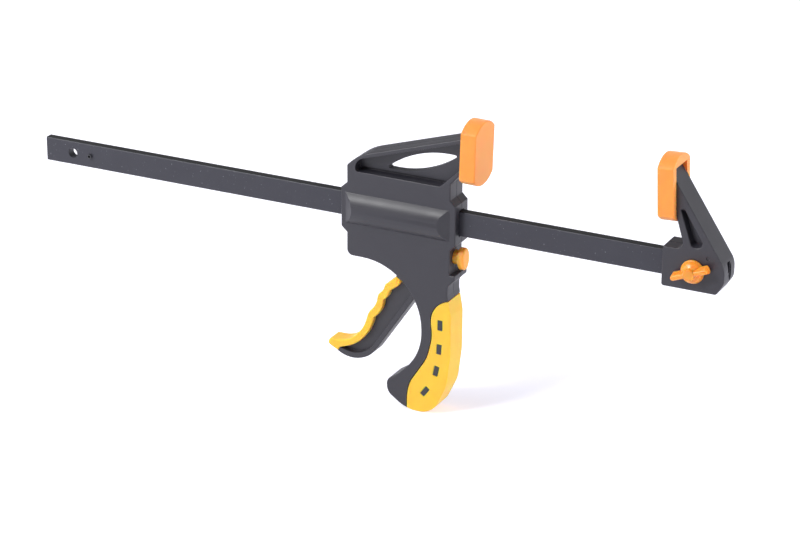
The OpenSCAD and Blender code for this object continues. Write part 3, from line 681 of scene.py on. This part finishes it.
# %% [markdown]
# The release button has a nose that touches the brake plate, a flange that keeps it in, a neck
# through the shells and a wide oval cap for the thumb. The cap could be an oval plate, but its
# edge would not be as round as a turned one. So the whole button is spun, and then the cap's
# points are picked, squeezed to an oval and set a little lower.

# %% Points picked by place
def pick_points(piece, test):
    edit(piece, "VERT")
    bpy.ops.mesh.select_all(action="DESELECT")
    leave()
    for vertex in piece.data.vertices:
        vertex.select = test(vertex.co / MM)
    edit(piece, "VERT")


def on_cap(spot):
    away = math.hypot(spot.y, spot.z - BUTTON_Z)
    return spot.x > 78 or (spot.x > 77.4 and away > BUTTON_HOLE)


print("the neck is on the cap:", on_cap(Vector((77.5, 0, BUTTON_Z + 4.5))))

# %% Release button
BUTTON = [
    (0, 70.28, 0), (2, 70.28, 0), (2, 70.51, 0), (6.2, 70.51, 0), (6.2, 71.7, 0), (4.5, 71.7, 0),
    (4.5, 77.5, 0), (6.9, 77.5, 0.5), (6.9, 81.6, 1.4), (0, 81.8, 0),
]
release_button = spun("release_button_skin", BUTTON, (0, 0, BUTTON_Z), (1, 0, 0), (0, 0, 1))
pick_points(release_button, on_cap)
bpy.ops.transform.resize(value=(1, 0.71, 1.04), center_override=(0, 0, BUTTON_Z * MM))
bpy.ops.transform.translate(value=(0, 0, -0.4 * MM))
leave()
into_body(soften(release_button, 0.15))
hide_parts("release_button")
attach(release_button, "button")
report(release_button)

# %% [markdown]
# The two pads are the same soft moulding, pushed over the tongues. A pad could be a plain box, but
# the real one has a bowed top and bottom, which are arcs through the middle's and the sides'
# heights. So its face is drawn from the front, made solid, and turned to look along the bar.

# %% A pad's outline
PAD_W, PAD_H, PAD_SIDE, PAD_T = 26.7, 40.3, 29.1, 10.2


def pad_outline():
    steps = 24
    rise = (PAD_H - PAD_SIDE) / 2
    r = (PAD_W ** 2 / 4 + rise ** 2) / 2 / rise
    reach = math.asin(PAD_W / 2 / r)
    angles = [reach - 2 * reach * i / steps for i in range(steps + 1)]
    top = [(math.sin(a) * r, math.cos(a) * r - r + PAD_H / 2) for a in angles]
    return [(x, z, 0) for x, z in top] + [(-x, -z, 0) for x, z in top]


def on_pad_side(spot):
    return abs(abs(spot.x) - PAD_W / 2) < NEAR


def at_pad_corner(a, b):
    through = abs(a.z - b.z) < NEAR and abs(a.y - b.y) > PAD_T / 2
    return on_pad_side(a) and on_pad_side(b) and through


print("pad outline:", len(pad_outline()), "points")

# %% [markdown]
# A pin of the mould pushes the finished pad out and leaves a shallow round dent on its top. The
# dent could be a bump in the finish, but it catches the light as a real hollow does, so the side
# of a small sphere is cut away. The second pad is a copy with its own mesh. Its frame is turned
# half round, so its dent comes to the near side.

# %% Pads
QUARTER_TURN = Matrix(((0, 1, 0, 0), (-1, 0, 0, 0), (0, 0, 1, 0), (0, 0, 0, 1)))
DENT_AT, DENT_RADIUS = (6.6, 8.64, 20.27), 2.2


def pad(name):
    piece = plate(name, pad_outline(), 0, PAD_T, rim=0.9, rims=[PAD_T])
    bevel_edges(piece, at_pad_corner, 0.7)
    into(piece, QUARTER_TURN)
    deselect()
    bpy.ops.mesh.primitive_uv_sphere_add(segments=48, ring_count=24, radius=DENT_RADIUS * MM,
                                         location=[c * MM for c in DENT_AT])
    dent = settle(bpy.context.object)
    cut(piece, block("pocket", (-1, -8.7, -13.8), (7.2, 8.7, 13.8)), dent)
    return soften(piece, 0.25)


moving_pad = pad("moving_pad_skin")
fixed_pad = copy_of(moving_pad, "fixed_pad_skin")
for piece, node, body, which in ((moving_pad, "moving_jaw_pad", "moving_jaw", "moving"),
                                 (fixed_pad, "fixed_jaw_pad", "bar_and_jaw", "fixed")):
    into(piece, pad_frame(which))
    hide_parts(node)
    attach(piece, body)
    report(piece)

# %% [markdown]
# The fixed jaw is one moulding: a collar round the bar and a strut up to the pad, with a sloping
# back. It could be blended from the collar to the pad, but its sides are flat, so it is again a
# plate. The room for the pad is cut out of it, and a tongue, trimmed to the slope of the back, is
# set in.

# %% The outside of the fixed jaw
BACK_STEEPNESS = 1.515


def fixed_back(z):
    return 38.6 - (z - 4.8) / BACK_STEEPNESS


FIXED_EDGE = [
    (0, -12.4, 1.6), (34, -12.4, 1.8), (38.6, -5.2, 8), (38.6, 4.8, 12),
    (fixed_back(60.6), 60.6, 0), (fixed_back(60.6) - 4, 60.6, 0), (7.3, 32.9, 0),
    (10.9, 20.9, 6), (13.8, 12.4, 4), (0, 12.4, 0.8),
]
fixed_jaw = plate("fixed_jaw_skin", FIXED_EDGE, -HALF, HALF, rim=0.7)
to_pad = along(-JAW_X) @ pad_frame("fixed")
cut(fixed_jaw, into(block("pad room", (0, -20, -21.15), (30, 20, 21.15)), to_pad))
foot = into(plate("tongue", TONGUE, -TONGUE_HALF, TONGUE_HALF), to_pad)
slope = [(-10.2, 0, 0), (fixed_back(0), 0, 0), (fixed_back(94), 94, 0), (-10.2, 94, 0)]
keep(foot, plate("slope", slope, -HALF, HALF))
join(fixed_jaw, foot)
report(fixed_jaw)

# %% [markdown]
# A deep pocket on each side saves plastic. Its cutter could be straight, but the cores of a mould
# are drafted, or they would stick, and the light on the slanted walls shows it. So the cutter's
# inner end is shrunk towards a point of the pocket. The pocket's edge gets the same fine bevel as
# the moving jaw's. Its edges are those of the side face that lie inside a slightly wider outline.

# %% The drafted side pockets
SIDE_POCKET = [(9.7, 37.4, 0.7), (17.8, 14.1, 3.2), (27.2, 14.1, 3.2), (12.2, 37.4, 0.7)]
SHRINK = 0.78


def drafted(floor, mouth):
    pocket = plate("pocket", SIDE_POCKET, floor, mouth)
    pick_points(pocket, lambda spot: abs(spot.y - floor) < NEAR)
    bpy.ops.transform.resize(value=(SHRINK, 1, SHRINK), center_override=(17.8 * MM, 0, 22.5 * MM))
    leave()
    return pocket


def on_side_mouth(spot):
    down = 37.4 - spot.z
    inside = 8.9 + 0.3476 * down < spot.x < 13 + 0.6438 * down
    return abs(abs(spot.y) - HALF) < NEAR and 13.6 < spot.z < 38 and inside


print("a point of the lower edge is picked:", on_side_mouth(Vector((20, -HALF, 14.1))))

# %% [markdown]
# The jaw sits on the bar's end and can be taken off and turned round, so it has a slot for the
# bar, a hole for the knob's stud and a six-sided seat for its nut. They could be modelled face by
# face, but cut out as whole shapes they keep each size where it can be read. A small dimple and
# the line where the halves of the mould met are cut in the same step.

# %% Fixed jaw
STUD_X = 19.4
cut(fixed_jaw, drafted(-3.5, -10), drafted(3.5, 10),
    block("channel", (37.8, -2.6, -8.5), (45, 2.6, 8)),
    block("bar slot", (-1, -SLOT_Y, -SLOT_Z), (31, SLOT_Y, SLOT_Z)),
    block("core hole", (30.7, -2, -1), (70, 2, 6)),
    rod("stud hole", (STUD_X, -10, 0), (STUD_X, 10, 0), 2.7),
    rod("nut seat", (STUD_X, 5, 0), (STUD_X, 10, 0), 4.67, 6),
    rod("dimple", (28.2, -10, 9.3), (28.2, -8.5, 9.3), 1.1, 32),
    block("parting line", (1.2, -0.3, 11.9), (12.4, 0.3, 14)))
bevel_edges(fixed_jaw, lambda a, b: on_side_mouth(a) and on_side_mouth(b), MOUTH_RIM)
into(soften(fixed_jaw, 0.22), along(JAW_X))
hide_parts("fixed_jaw")
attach(fixed_jaw, "bar_and_jaw")
report(fixed_jaw)

# %% [markdown]
# The wing knob tightens the fixed jaw on the bar. It has a round foot with a hub and two wings for
# finger and thumb. The wings could be plain blocks, but a mould only lets go of walls that slant.
# So the foot is spun, and each wing is a plate whose points are spread the more, the further they
# lie behind its front face, which makes it thicker at the foot. A blind hole takes the stud's
# thread.

# %% Wing knob
KNOB_FOOT = [
    (0, 0, 0), (7.2, 0, 0.2), (7.2, 1.3, 0.4), (6.8, 1.5, 0.15), (6.1, 4, 3), (3.6, 5.4, 1),
    (3.4, 7.8, 0.5), (0, 7.8, 0),
]
WING_FRONT, WING_BACK, WING_DRAFT, WING_TURNS = -16.9, -11.1, 0.16, (20.5, 200.5)
WING = [(1, -1.35, 0), (11.8, -1.35, 1.2), (11.8, 1.35, 1.2), (1, 1.35, 0)]
knob_at = (STUD_X + JAW_X, -9.3, 0)
wing_knob = spun("wing_knob_skin", KNOB_FOOT, knob_at, (0, -1, 0), (0, 0, 1))
for turn in WING_TURNS:
    wing = plate("wing", WING, WING_FRONT, WING_BACK, rim=0.9, rims=[WING_FRONT])
    for vertex in wing.data.vertices:
        vertex.co.z *= 1 + WING_DRAFT * (vertex.co.y / MM - WING_FRONT)
    join(wing_knob, into(wing, turned_at(knob_at[0], 0, -turn)))
cut(wing_knob, rod("thread", (knob_at[0], -5, 0), (knob_at[0], -16.1, 0), 2.5))
soften(wing_knob, 0.3)
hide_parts("wing_knob")
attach(wing_knob, "knob")
report(wing_knob)

# %% [markdown]
# Now the finishes. Blender's light adds up in linear values, in which a colour could be written
# too, but nobody judges colours that way. So they are written as they look on a screen, from 0 to
# 255, and turned into linear values by the screen's own curve.

# %% Colours
def paint(r, g, b):
    def linear(c):
        c /= 255
        return c / 12.92 if c <= 0.04045 else ((c + 0.055) / 1.055) ** 2.4
    return (linear(r), linear(g), linear(b), 1)


print("a screen grey of 128 is", round(paint(128, 128, 128)[0], 3), "in linear light")

# %% [markdown]
# Moulded plastic has a fine grain from the etched mould and a slight drift of colour, and steel
# has both too. Pictures could be laid on the pieces, but they stretch and have an end, while noise
# fits every size. Both effects are node groups, built once, so that every finish can use them with
# its own scale and strength. First come two small helpers that open a group and place a node.

# %% Helpers for node groups
def group(name, inputs, outputs):
    tree = bpy.data.node_groups.new(name, "ShaderNodeTree")
    for title, kind, value in inputs:
        socket = tree.interface.new_socket(title, in_out="INPUT", socket_type=kind)
        socket.default_value = value
    for title, kind in outputs:
        tree.interface.new_socket(title, in_out="OUTPUT", socket_type=kind)
    return tree, tree.nodes.new("NodeGroupInput"), tree.nodes.new("NodeGroupOutput")


def node(tree, kind, place, **values):
    made = tree.nodes.new(kind)
    made.location = place
    for key, value in values.items():
        setattr(made, key, value)
    return made


print("node groups so far:", len(bpy.data.node_groups))

# %% [markdown]
# The grain is a fine noise that a bump can read, and a broad noise that makes some patches
# smoother than others, as handling does. One noise could feed both, but real wear is much broader
# than grain.

# %% Moulded grain
def grain_group():
    tree, given, result = group("moulded grain", [
        ("Vector", "NodeSocketVector", (0, 0, 0)), ("Grain size", "NodeSocketFloat", 0.4),
        ("Smoothest", "NodeSocketFloat", 0.4), ("Roughest", "NodeSocketFloat", 0.55)],
        [("Height", "NodeSocketFloat"), ("Roughness", "NodeSocketFloat")])
    given.location = (-700, 0)
    scale = node(tree, "ShaderNodeMath", (-520, 120), operation="DIVIDE")
    scale.inputs[0].default_value = 1 / MM
    fine = node(tree, "ShaderNodeTexNoise", (-340, 160))
    fine.inputs["Detail"].default_value = 3
    broad = node(tree, "ShaderNodeTexNoise", (-340, -120))
    broad.inputs["Scale"].default_value = 45
    broad.inputs["Detail"].default_value = 4
    mapped = node(tree, "ShaderNodeMapRange", (-120, -120))
    mapped.inputs["From Min"].default_value = 0.3
    mapped.inputs["From Max"].default_value = 0.7
    result.location = (120, 0)
    link = tree.links.new
    link(given.outputs["Grain size"], scale.inputs[1])
    link(scale.outputs[0], fine.inputs["Scale"])
    link(given.outputs["Vector"], fine.inputs["Vector"])
    link(given.outputs["Vector"], broad.inputs["Vector"])
    link(broad.outputs["Fac"], mapped.inputs["Value"])
    link(given.outputs["Smoothest"], mapped.inputs["To Min"])
    link(given.outputs["Roughest"], mapped.inputs["To Max"])
    link(fine.outputs["Fac"], result.inputs["Height"])
    link(mapped.outputs["Result"], result.inputs["Roughness"])
    return tree


GRAIN = grain_group()
print("group:", GRAIN.name, "with", len(GRAIN.nodes), "nodes")

# %% [markdown]
# The drift blends two close colours by a soft noise. One flat colour could do, but large faces of
# it look like paper, and real plastic is never mixed quite evenly.

# %% Colour drift
def drift_group():
    tree, given, result = group("colour drift", [
        ("Vector", "NodeSocketVector", (0, 0, 0)), ("Colour", "NodeSocketColor", (1, 1, 1, 1)),
        ("Other colour", "NodeSocketColor", (1, 1, 1, 1)),
        ("Patches per metre", "NodeSocketFloat", 30)],
        [("Colour", "NodeSocketColor")])
    noise = node(tree, "ShaderNodeTexNoise", (-340, 0))
    noise.inputs["Detail"].default_value = 5
    blend = node(tree, "ShaderNodeMix", (-100, 0), data_type="RGBA")
    link = tree.links.new
    link(given.outputs["Vector"], noise.inputs["Vector"])
    link(given.outputs["Patches per metre"], noise.inputs["Scale"])
    link(noise.outputs["Fac"], blend.inputs["Factor"])
    link(given.outputs["Colour"], blend.inputs["A"])
    link(given.outputs["Other colour"], blend.inputs["B"])
    link(blend.outputs["Result"], result.inputs["Colour"])
    return tree


DRIFT = drift_group()
print("group:", DRIFT.name, "with", len(DRIFT.nodes), "nodes")

# %% [markdown]
# One recipe serves all plastics and metals here: drift for the colour, grain for roughness and
# bump, and the constants straight on the Principled shader. Each material could be wired by hand,
# but what is alike in all of them is easier to mend in one place. Glow is light that enters soft
# plastic and comes out a little further on, red furthest, and sheen is the pale bloom on rubber
# seen edge on.

# %% The recipe of a finish
GLOW_DEPTH, GLOW_COLOURS, BUMP_DEPTH = 3.5 * MM, (1.0, 0.28, 0.09), 0.02 * MM


def finish(name, colour, other, smooth, rough, grain, bump, patches=30, metal=0.0,
           specular=0.5, glow=0.0, sheen=0.0):
    material = bpy.data.materials.new(name)
    material.use_nodes = True
    tree = material.node_tree
    shader = tree.nodes["Principled BSDF"]
    shader.inputs["Metallic"].default_value = metal
    shader.inputs["Specular IOR Level"].default_value = specular
    if glow:
        shader.inputs["Subsurface Weight"].default_value = glow
        shader.inputs["Subsurface Scale"].default_value = GLOW_DEPTH
        shader.inputs["Subsurface Radius"].default_value = GLOW_COLOURS
    if sheen:
        shader.inputs["Sheen Weight"].default_value = sheen
        shader.inputs["Sheen Tint"].default_value = (1, 0.9, 0.75, 1)
    place = node(tree, "ShaderNodeTexCoord", (-900, 0))
    grains = node(tree, "ShaderNodeGroup", (-640, -200), node_tree=GRAIN)
    grains.inputs["Grain size"].default_value = grain
    grains.inputs["Smoothest"].default_value = smooth
    grains.inputs["Roughest"].default_value = rough
    drift = node(tree, "ShaderNodeGroup", (-640, 120), node_tree=DRIFT)
    drift.inputs["Colour"].default_value = colour
    drift.inputs["Other colour"].default_value = other
    drift.inputs["Patches per metre"].default_value = patches
    bumps = node(tree, "ShaderNodeBump", (-320, -260))
    bumps.inputs["Strength"].default_value = bump
    bumps.inputs["Distance"].default_value = BUMP_DEPTH
    link = tree.links.new
    link(place.outputs["Object"], grains.inputs["Vector"])
    link(place.outputs["Object"], drift.inputs["Vector"])
    link(drift.outputs["Colour"], shader.inputs["Base Color"])
    link(grains.outputs["Roughness"], shader.inputs["Roughness"])
    link(grains.outputs["Height"], bumps.inputs["Height"])
    link(bumps.outputs["Normal"], shader.inputs["Normal"])
    return material


print("glow reaches", GLOW_DEPTH / MM, "mm into the plastic")

# %% [markdown]
# The shells and the fixed jaw are dark plastic with an etched grain, and the lever is smoother.
# The pads, the knob and the button are orange and the two grips are yellow, all of soft plastic. A
# plain bright colour could stand in for it, but its shaded side would look dull, so the soft ones
# glow, and those that are rubbery to the touch have some sheen.

# %% Plastics
BODY_PLASTIC = finish("grained dark plastic", paint(42, 41, 49), paint(48, 47, 55),
                      smooth=0.38, rough=0.48, grain=0.35, bump=0.6)
LEVER_PLASTIC = finish("smooth dark plastic", paint(46, 45, 52), paint(52, 51, 58),
                       smooth=0.4, rough=0.5, grain=0.6, bump=0.25)
PAD_SOFT = finish("orange pad plastic", paint(255, 151, 56), paint(255, 157, 62),
                  smooth=0.42, rough=0.55, grain=0.8, bump=0.15, glow=0.8, sheen=0.35)
GRIP_SOFT = finish("yellow grip rubber", paint(255, 190, 44), paint(255, 196, 52),
                   smooth=0.45, rough=0.6, grain=0.6, bump=0.2, glow=0.8, sheen=0.35)
KNOB_SOFT = finish("orange knob plastic", paint(255, 150, 46), paint(255, 157, 54),
                   smooth=0.25, rough=0.36, grain=0.8, bump=0.1, glow=0.8)
BUTTON_SOFT = finish("orange button plastic", paint(255, 169, 60), paint(255, 175, 68),
                     smooth=0.3, rough=0.42, grain=0.8, bump=0.1, glow=0.8)
plastics = (BODY_PLASTIC, LEVER_PLASTIC, PAD_SOFT, GRIP_SOFT, KNOB_SOFT, BUTTON_SOFT)
print("plastics:", ", ".join(material.name for material in plastics))

# %% [markdown]
# The bar and its stop pin are blackened steel. A black oxide hides the metal's shine, so they are
# painted like plastic, with no metal in the shader. The ground plates, the drawn springs and the
# zinc plated screws, nut, stud and pin stay bright. A light grey paint could stand in for them,
# but only a metal's shader mirrors what is around it, so theirs is fully metal.

# %% Steels
BAR_STEEL = finish("blackened steel", paint(50, 50, 59), paint(56, 56, 65),
                   smooth=0.36, rough=0.48, grain=0.5, bump=0.2, patches=60, specular=0.35)
PIN_STEEL = finish("blackened pin", paint(42, 42, 48), paint(52, 52, 58),
                   smooth=0.3, rough=0.42, grain=0.4, bump=0.2)
PLATE_STEEL = finish("ground plate steel", paint(150, 150, 152), paint(165, 165, 168),
                     smooth=0.3, rough=0.45, grain=0.3, bump=0.3, metal=1.0)
SPRING_STEEL = finish("drawn spring steel", paint(140, 140, 145), paint(160, 160, 165),
                      smooth=0.25, rough=0.38, grain=0.3, bump=0.2, metal=1.0)
ZINC = finish("zinc plated steel", paint(185, 187, 190), paint(205, 206, 208),
              smooth=0.25, rough=0.4, grain=0.4, bump=0.2, metal=1.0)
steels = (BAR_STEEL, PIN_STEEL, PLATE_STEEL, SPRING_STEEL, ZINC)
print("steels:", ", ".join(material.name for material in steels))

# %% [markdown]
# The bar's narrow faces get a painted shade that makes them nearly black, standing in for the dark
# room that they would mirror, and its sides are a little worn, with tiny bright specks. The faces
# could be given two materials, but the border would be a hard line. The bar is 16 mm high, so the
# height above its middle tells its faces apart: the painted shade sets in from 7.75 to 7.95 mm.

# %% Painted shade on the bar's narrow faces, and specks
DARK_FROM, DARK_TO, SPECKS_PER_METRE = 7.75 * MM, 7.95 * MM, 900


# Adds real specks of wear, and a painted shade that darkens the bar's narrow faces.
def specks_and_painted_shade(material):
    tree = material.node_tree
    shader = tree.nodes["Principled BSDF"]
    place = tree.nodes["Texture Coordinate"]
    drift = shader.inputs["Base Color"].links[0].from_socket
    axes = node(tree, "ShaderNodeSeparateXYZ", (-640, 420))
    height = node(tree, "ShaderNodeMath", (-460, 420), operation="ABSOLUTE")
    narrow = node(tree, "ShaderNodeMapRange", (-300, 420))
    narrow.inputs["From Min"].default_value = DARK_FROM
    narrow.inputs["From Max"].default_value = DARK_TO
    dots = node(tree, "ShaderNodeTexNoise", (-640, 640))
    dots.inputs["Scale"].default_value = SPECKS_PER_METRE
    dots.inputs["Detail"].default_value = 2
    bright = node(tree, "ShaderNodeMapRange", (-460, 640))
    bright.inputs["From Min"].default_value = 0.7
    bright.inputs["From Max"].default_value = 0.78
    bright.inputs["To Max"].default_value = 0.4
    worn = node(tree, "ShaderNodeMix", (-220, 200), data_type="RGBA")
    worn.inputs["B"].default_value = paint(170, 170, 180)
    # Painted shade: the narrow faces are mixed towards near black, standing in for the dark room
    # they would mirror.
    dark = node(tree, "ShaderNodeMix", (-40, 200), data_type="RGBA")
    dark.inputs["B"].default_value = paint(22, 22, 26)
    link = tree.links.new
    link(place.outputs["Object"], axes.inputs["Vector"])
    link(axes.outputs["Z"], height.inputs[0])
    link(height.outputs[0], narrow.inputs["Value"])
    link(place.outputs["Object"], dots.inputs["Vector"])
    link(dots.outputs["Fac"], bright.inputs["Value"])
    link(bright.outputs["Result"], worn.inputs["Factor"])
    link(drift, worn.inputs["A"])
    link(worn.outputs["Result"], dark.inputs["A"])
    link(narrow.outputs["Result"], dark.inputs["Factor"])
    link(dark.outputs["Result"], shader.inputs["Base Color"])


specks_and_painted_shade(BAR_STEEL)
print("bar finish:", len(BAR_STEEL.node_tree.nodes), "nodes")

# %% [markdown]
# Every new piece and every part that keeps its CAD mesh gets its finish. It could be done beside
# each piece, but as one table it can be read and changed at a glance. The parts inside the body
# and the small hardware are close enough to the real ones as they are, so only their finish is
# new.

# %% Give every piece and part its finish
def coat(piece, material):
    piece.data.materials.clear()
    piece.data.materials.append(material)


coats = {
    BODY_PLASTIC: [near_shell, far_shell, fixed_jaw],
    LEVER_PLASTIC: [trigger],
    GRIP_SOFT: [handle_grip, trigger_grip],
    KNOB_SOFT: [wing_knob],
    BUTTON_SOFT: [release_button],
    PAD_SOFT: [moving_pad, fixed_pad],
    BAR_STEEL: ["bar"],
    PLATE_STEEL: ["rear_drive_plate", "front_drive_plate", "brake_plate"],
    SPRING_STEEL: ["drive_spring", "brake_spring"],
    PIN_STEEL: ["stop_pin"],
    ZINC: ["knob_stud", "knob_nut", "shell_screws", "trigger_pin"],
}
for material, pieces in coats.items():
    for piece in pieces:
        coat(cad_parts[piece] if isinstance(piece, str) else piece, material)
    print(material.name, "on", len(pieces))

# %% [markdown]
# The clamp stands on its heel on a plain white floor. More light could turn the floor white, but
# it would bleach the clamp as well. So the floor has a little light of its own, which only the
# camera and clear reflections see: where it is open it is white, and a faint shadow stays. This
# helper tells those rays from the ones that light the clamp.

# %% Rays that see the background
VIEWING_RAYS = ("Is Camera Ray", "Is Glossy Ray", "Is Transmission Ray")


def seen_directly(tree):
    path = node(tree, "ShaderNodeLightPath", (-900, -500))
    seen = path.outputs[VIEWING_RAYS[0]]
    for other in VIEWING_RAYS[1:]:
        either = node(tree, "ShaderNodeMath", (-700, -500), operation="MAXIMUM")
        tree.links.new(seen, either.inputs[0])
        tree.links.new(path.outputs[other], either.inputs[1])
        seen = either.outputs[0]
    return seen


print("rays that see the floor's light:", ", ".join(VIEWING_RAYS))

# %% [markdown]
# The floor is a plain plane, much larger than the picture, so that none of its edges shows. A
# backdrop could rise behind the clamp, but the camera looks down and would hardly see it. The
# plane lies a tenth of a millimetre under the heel, because two faces in one place flicker.

# %% Floor
FLOOR_Z, FLOOR_LIGHT = -0.1279, (0.44, 0.44, 0.53, 1)
deselect()
bpy.ops.mesh.primitive_plane_add(size=40, location=(0.3, 0, FLOOR_Z))
floor = bpy.context.object
floor.name = "floor"
PAPER = finish("white floor", paint(232, 232, 234), paint(234, 234, 236),
               smooth=0.7, rough=0.8, grain=5, bump=0.0, specular=0.1)
paper_tree = PAPER.node_tree
paper_shader = paper_tree.nodes["Principled BSDF"]
lit = node(paper_tree, "ShaderNodeMix", (-300, -500), data_type="RGBA")
lit.inputs["A"].default_value = (0, 0, 0, 1)
lit.inputs["B"].default_value = FLOOR_LIGHT
paper_tree.links.new(seen_directly(paper_tree), lit.inputs["Factor"])
paper_tree.links.new(lit.outputs["Result"], paper_shader.inputs["Emission Color"])
paper_shader.inputs["Emission Strength"].default_value = 1.0
coat(floor, PAPER)
print("floor at z", round(FLOOR_Z / MM, 1), "mm")

# %% [markdown]
# The world is what surrounds the floor. A picture of a real room could stand there, but its
# colours would tint the plastic, so it is plain white and weak, and it only lifts the shadows.

# %% World
WORLD_STRENGTH = 0.36
world = bpy.data.worlds.new("studio")
bpy.context.scene.world = world
world.use_nodes = True
sky = world.node_tree
sky.nodes.clear()
shine = node(sky, "ShaderNodeBackground", (-100, 0))
shine.inputs["Color"].default_value = (1, 1, 1, 1)
shine.inputs["Strength"].default_value = WORLD_STRENGTH
out = node(sky, "ShaderNodeOutputWorld", (100, 0))
sky.links.new(shine.outputs["Background"], out.inputs["Surface"])
print("world strength:", WORLD_STRENGTH)

# %% [markdown]
# Five soft lamps light the clamp: one above, a key light from the front, a low one from the left,
# one from the right for the faces that look along the bar, and a weak one behind that lifts the
# sloping back of the fixed jaw. They could be set in watts, but then each move would change their
# brightness. So a lamp is stated by the direction it comes from and by how bright it makes white
# paper that faces it. The key is small enough to leave a soft shine on round edges.

# %% Lamps
LAMP_AIM, LAMP_AWAY = Vector((0.25, 0, -0.02)), 3.0


def lamp(name, toward, level, size):
    toward = Vector(toward).normalized()
    deselect()
    bpy.ops.object.light_add(type="AREA", location=LAMP_AIM + toward * LAMP_AWAY)
    light = bpy.context.object
    light.name = name
    light.data.shape = "DISK"
    light.data.size = size
    light.data.energy = level * math.pi ** 2 * LAMP_AWAY ** 2
    light.visible_camera = False
    light.rotation_euler = toward.to_track_quat("Z", "Y").to_euler()


lamp("above", (-0.6, -0.32, 0.74), level=0.4, size=1.5)
lamp("key", (-0.41, -0.68, 0.6), level=0.53, size=0.7)
lamp("left", (-0.8, -0.58, 0.22), level=0.22, size=1.6)
lamp("right", (0.95, 0.12, 0.15), level=0.68, size=1.6)
lamp("behind", (0.5, 0.83, 0.23), level=0.04, size=1.6)

# %% [markdown]
# The camera stands where the photographer stood: to the right of the clamp, above it, with a long
# lens, so that the bar hardly tapers. It could be placed by eye, but every edge would then be a
# little off. So its place, lens and three angles, in radians, come from fitting known points of
# the clamp to the picture.

# %% Camera
turn, rise, roll = 0.464480, 0.383984, 0.00568902
CAMERA_AT, LENS = (0.912405, -1.349157, 0.573252), 118.529
back = Vector((math.sin(turn) * math.cos(rise), -math.cos(turn) * math.cos(rise), math.sin(rise)))
right = (-back).cross(Vector((0, 0, 1))).normalized()
up = right.cross(-back)
across = math.cos(roll) * right + math.sin(roll) * up
above = -math.sin(roll) * right + math.cos(roll) * up
pose = Matrix((across, above, back)).transposed().to_4x4()
pose.translation = CAMERA_AT
deselect()
bpy.ops.object.camera_add()
camera = bpy.context.object
camera.matrix_world = pose
camera.data.sensor_width = 36
camera.data.lens = LENS
bpy.context.scene.camera = camera
bpy.context.scene.view_settings.view_transform = "Standard"
print("camera at", [round(c, 3) for c in camera.location], "with a lens of", LENS, "mm")
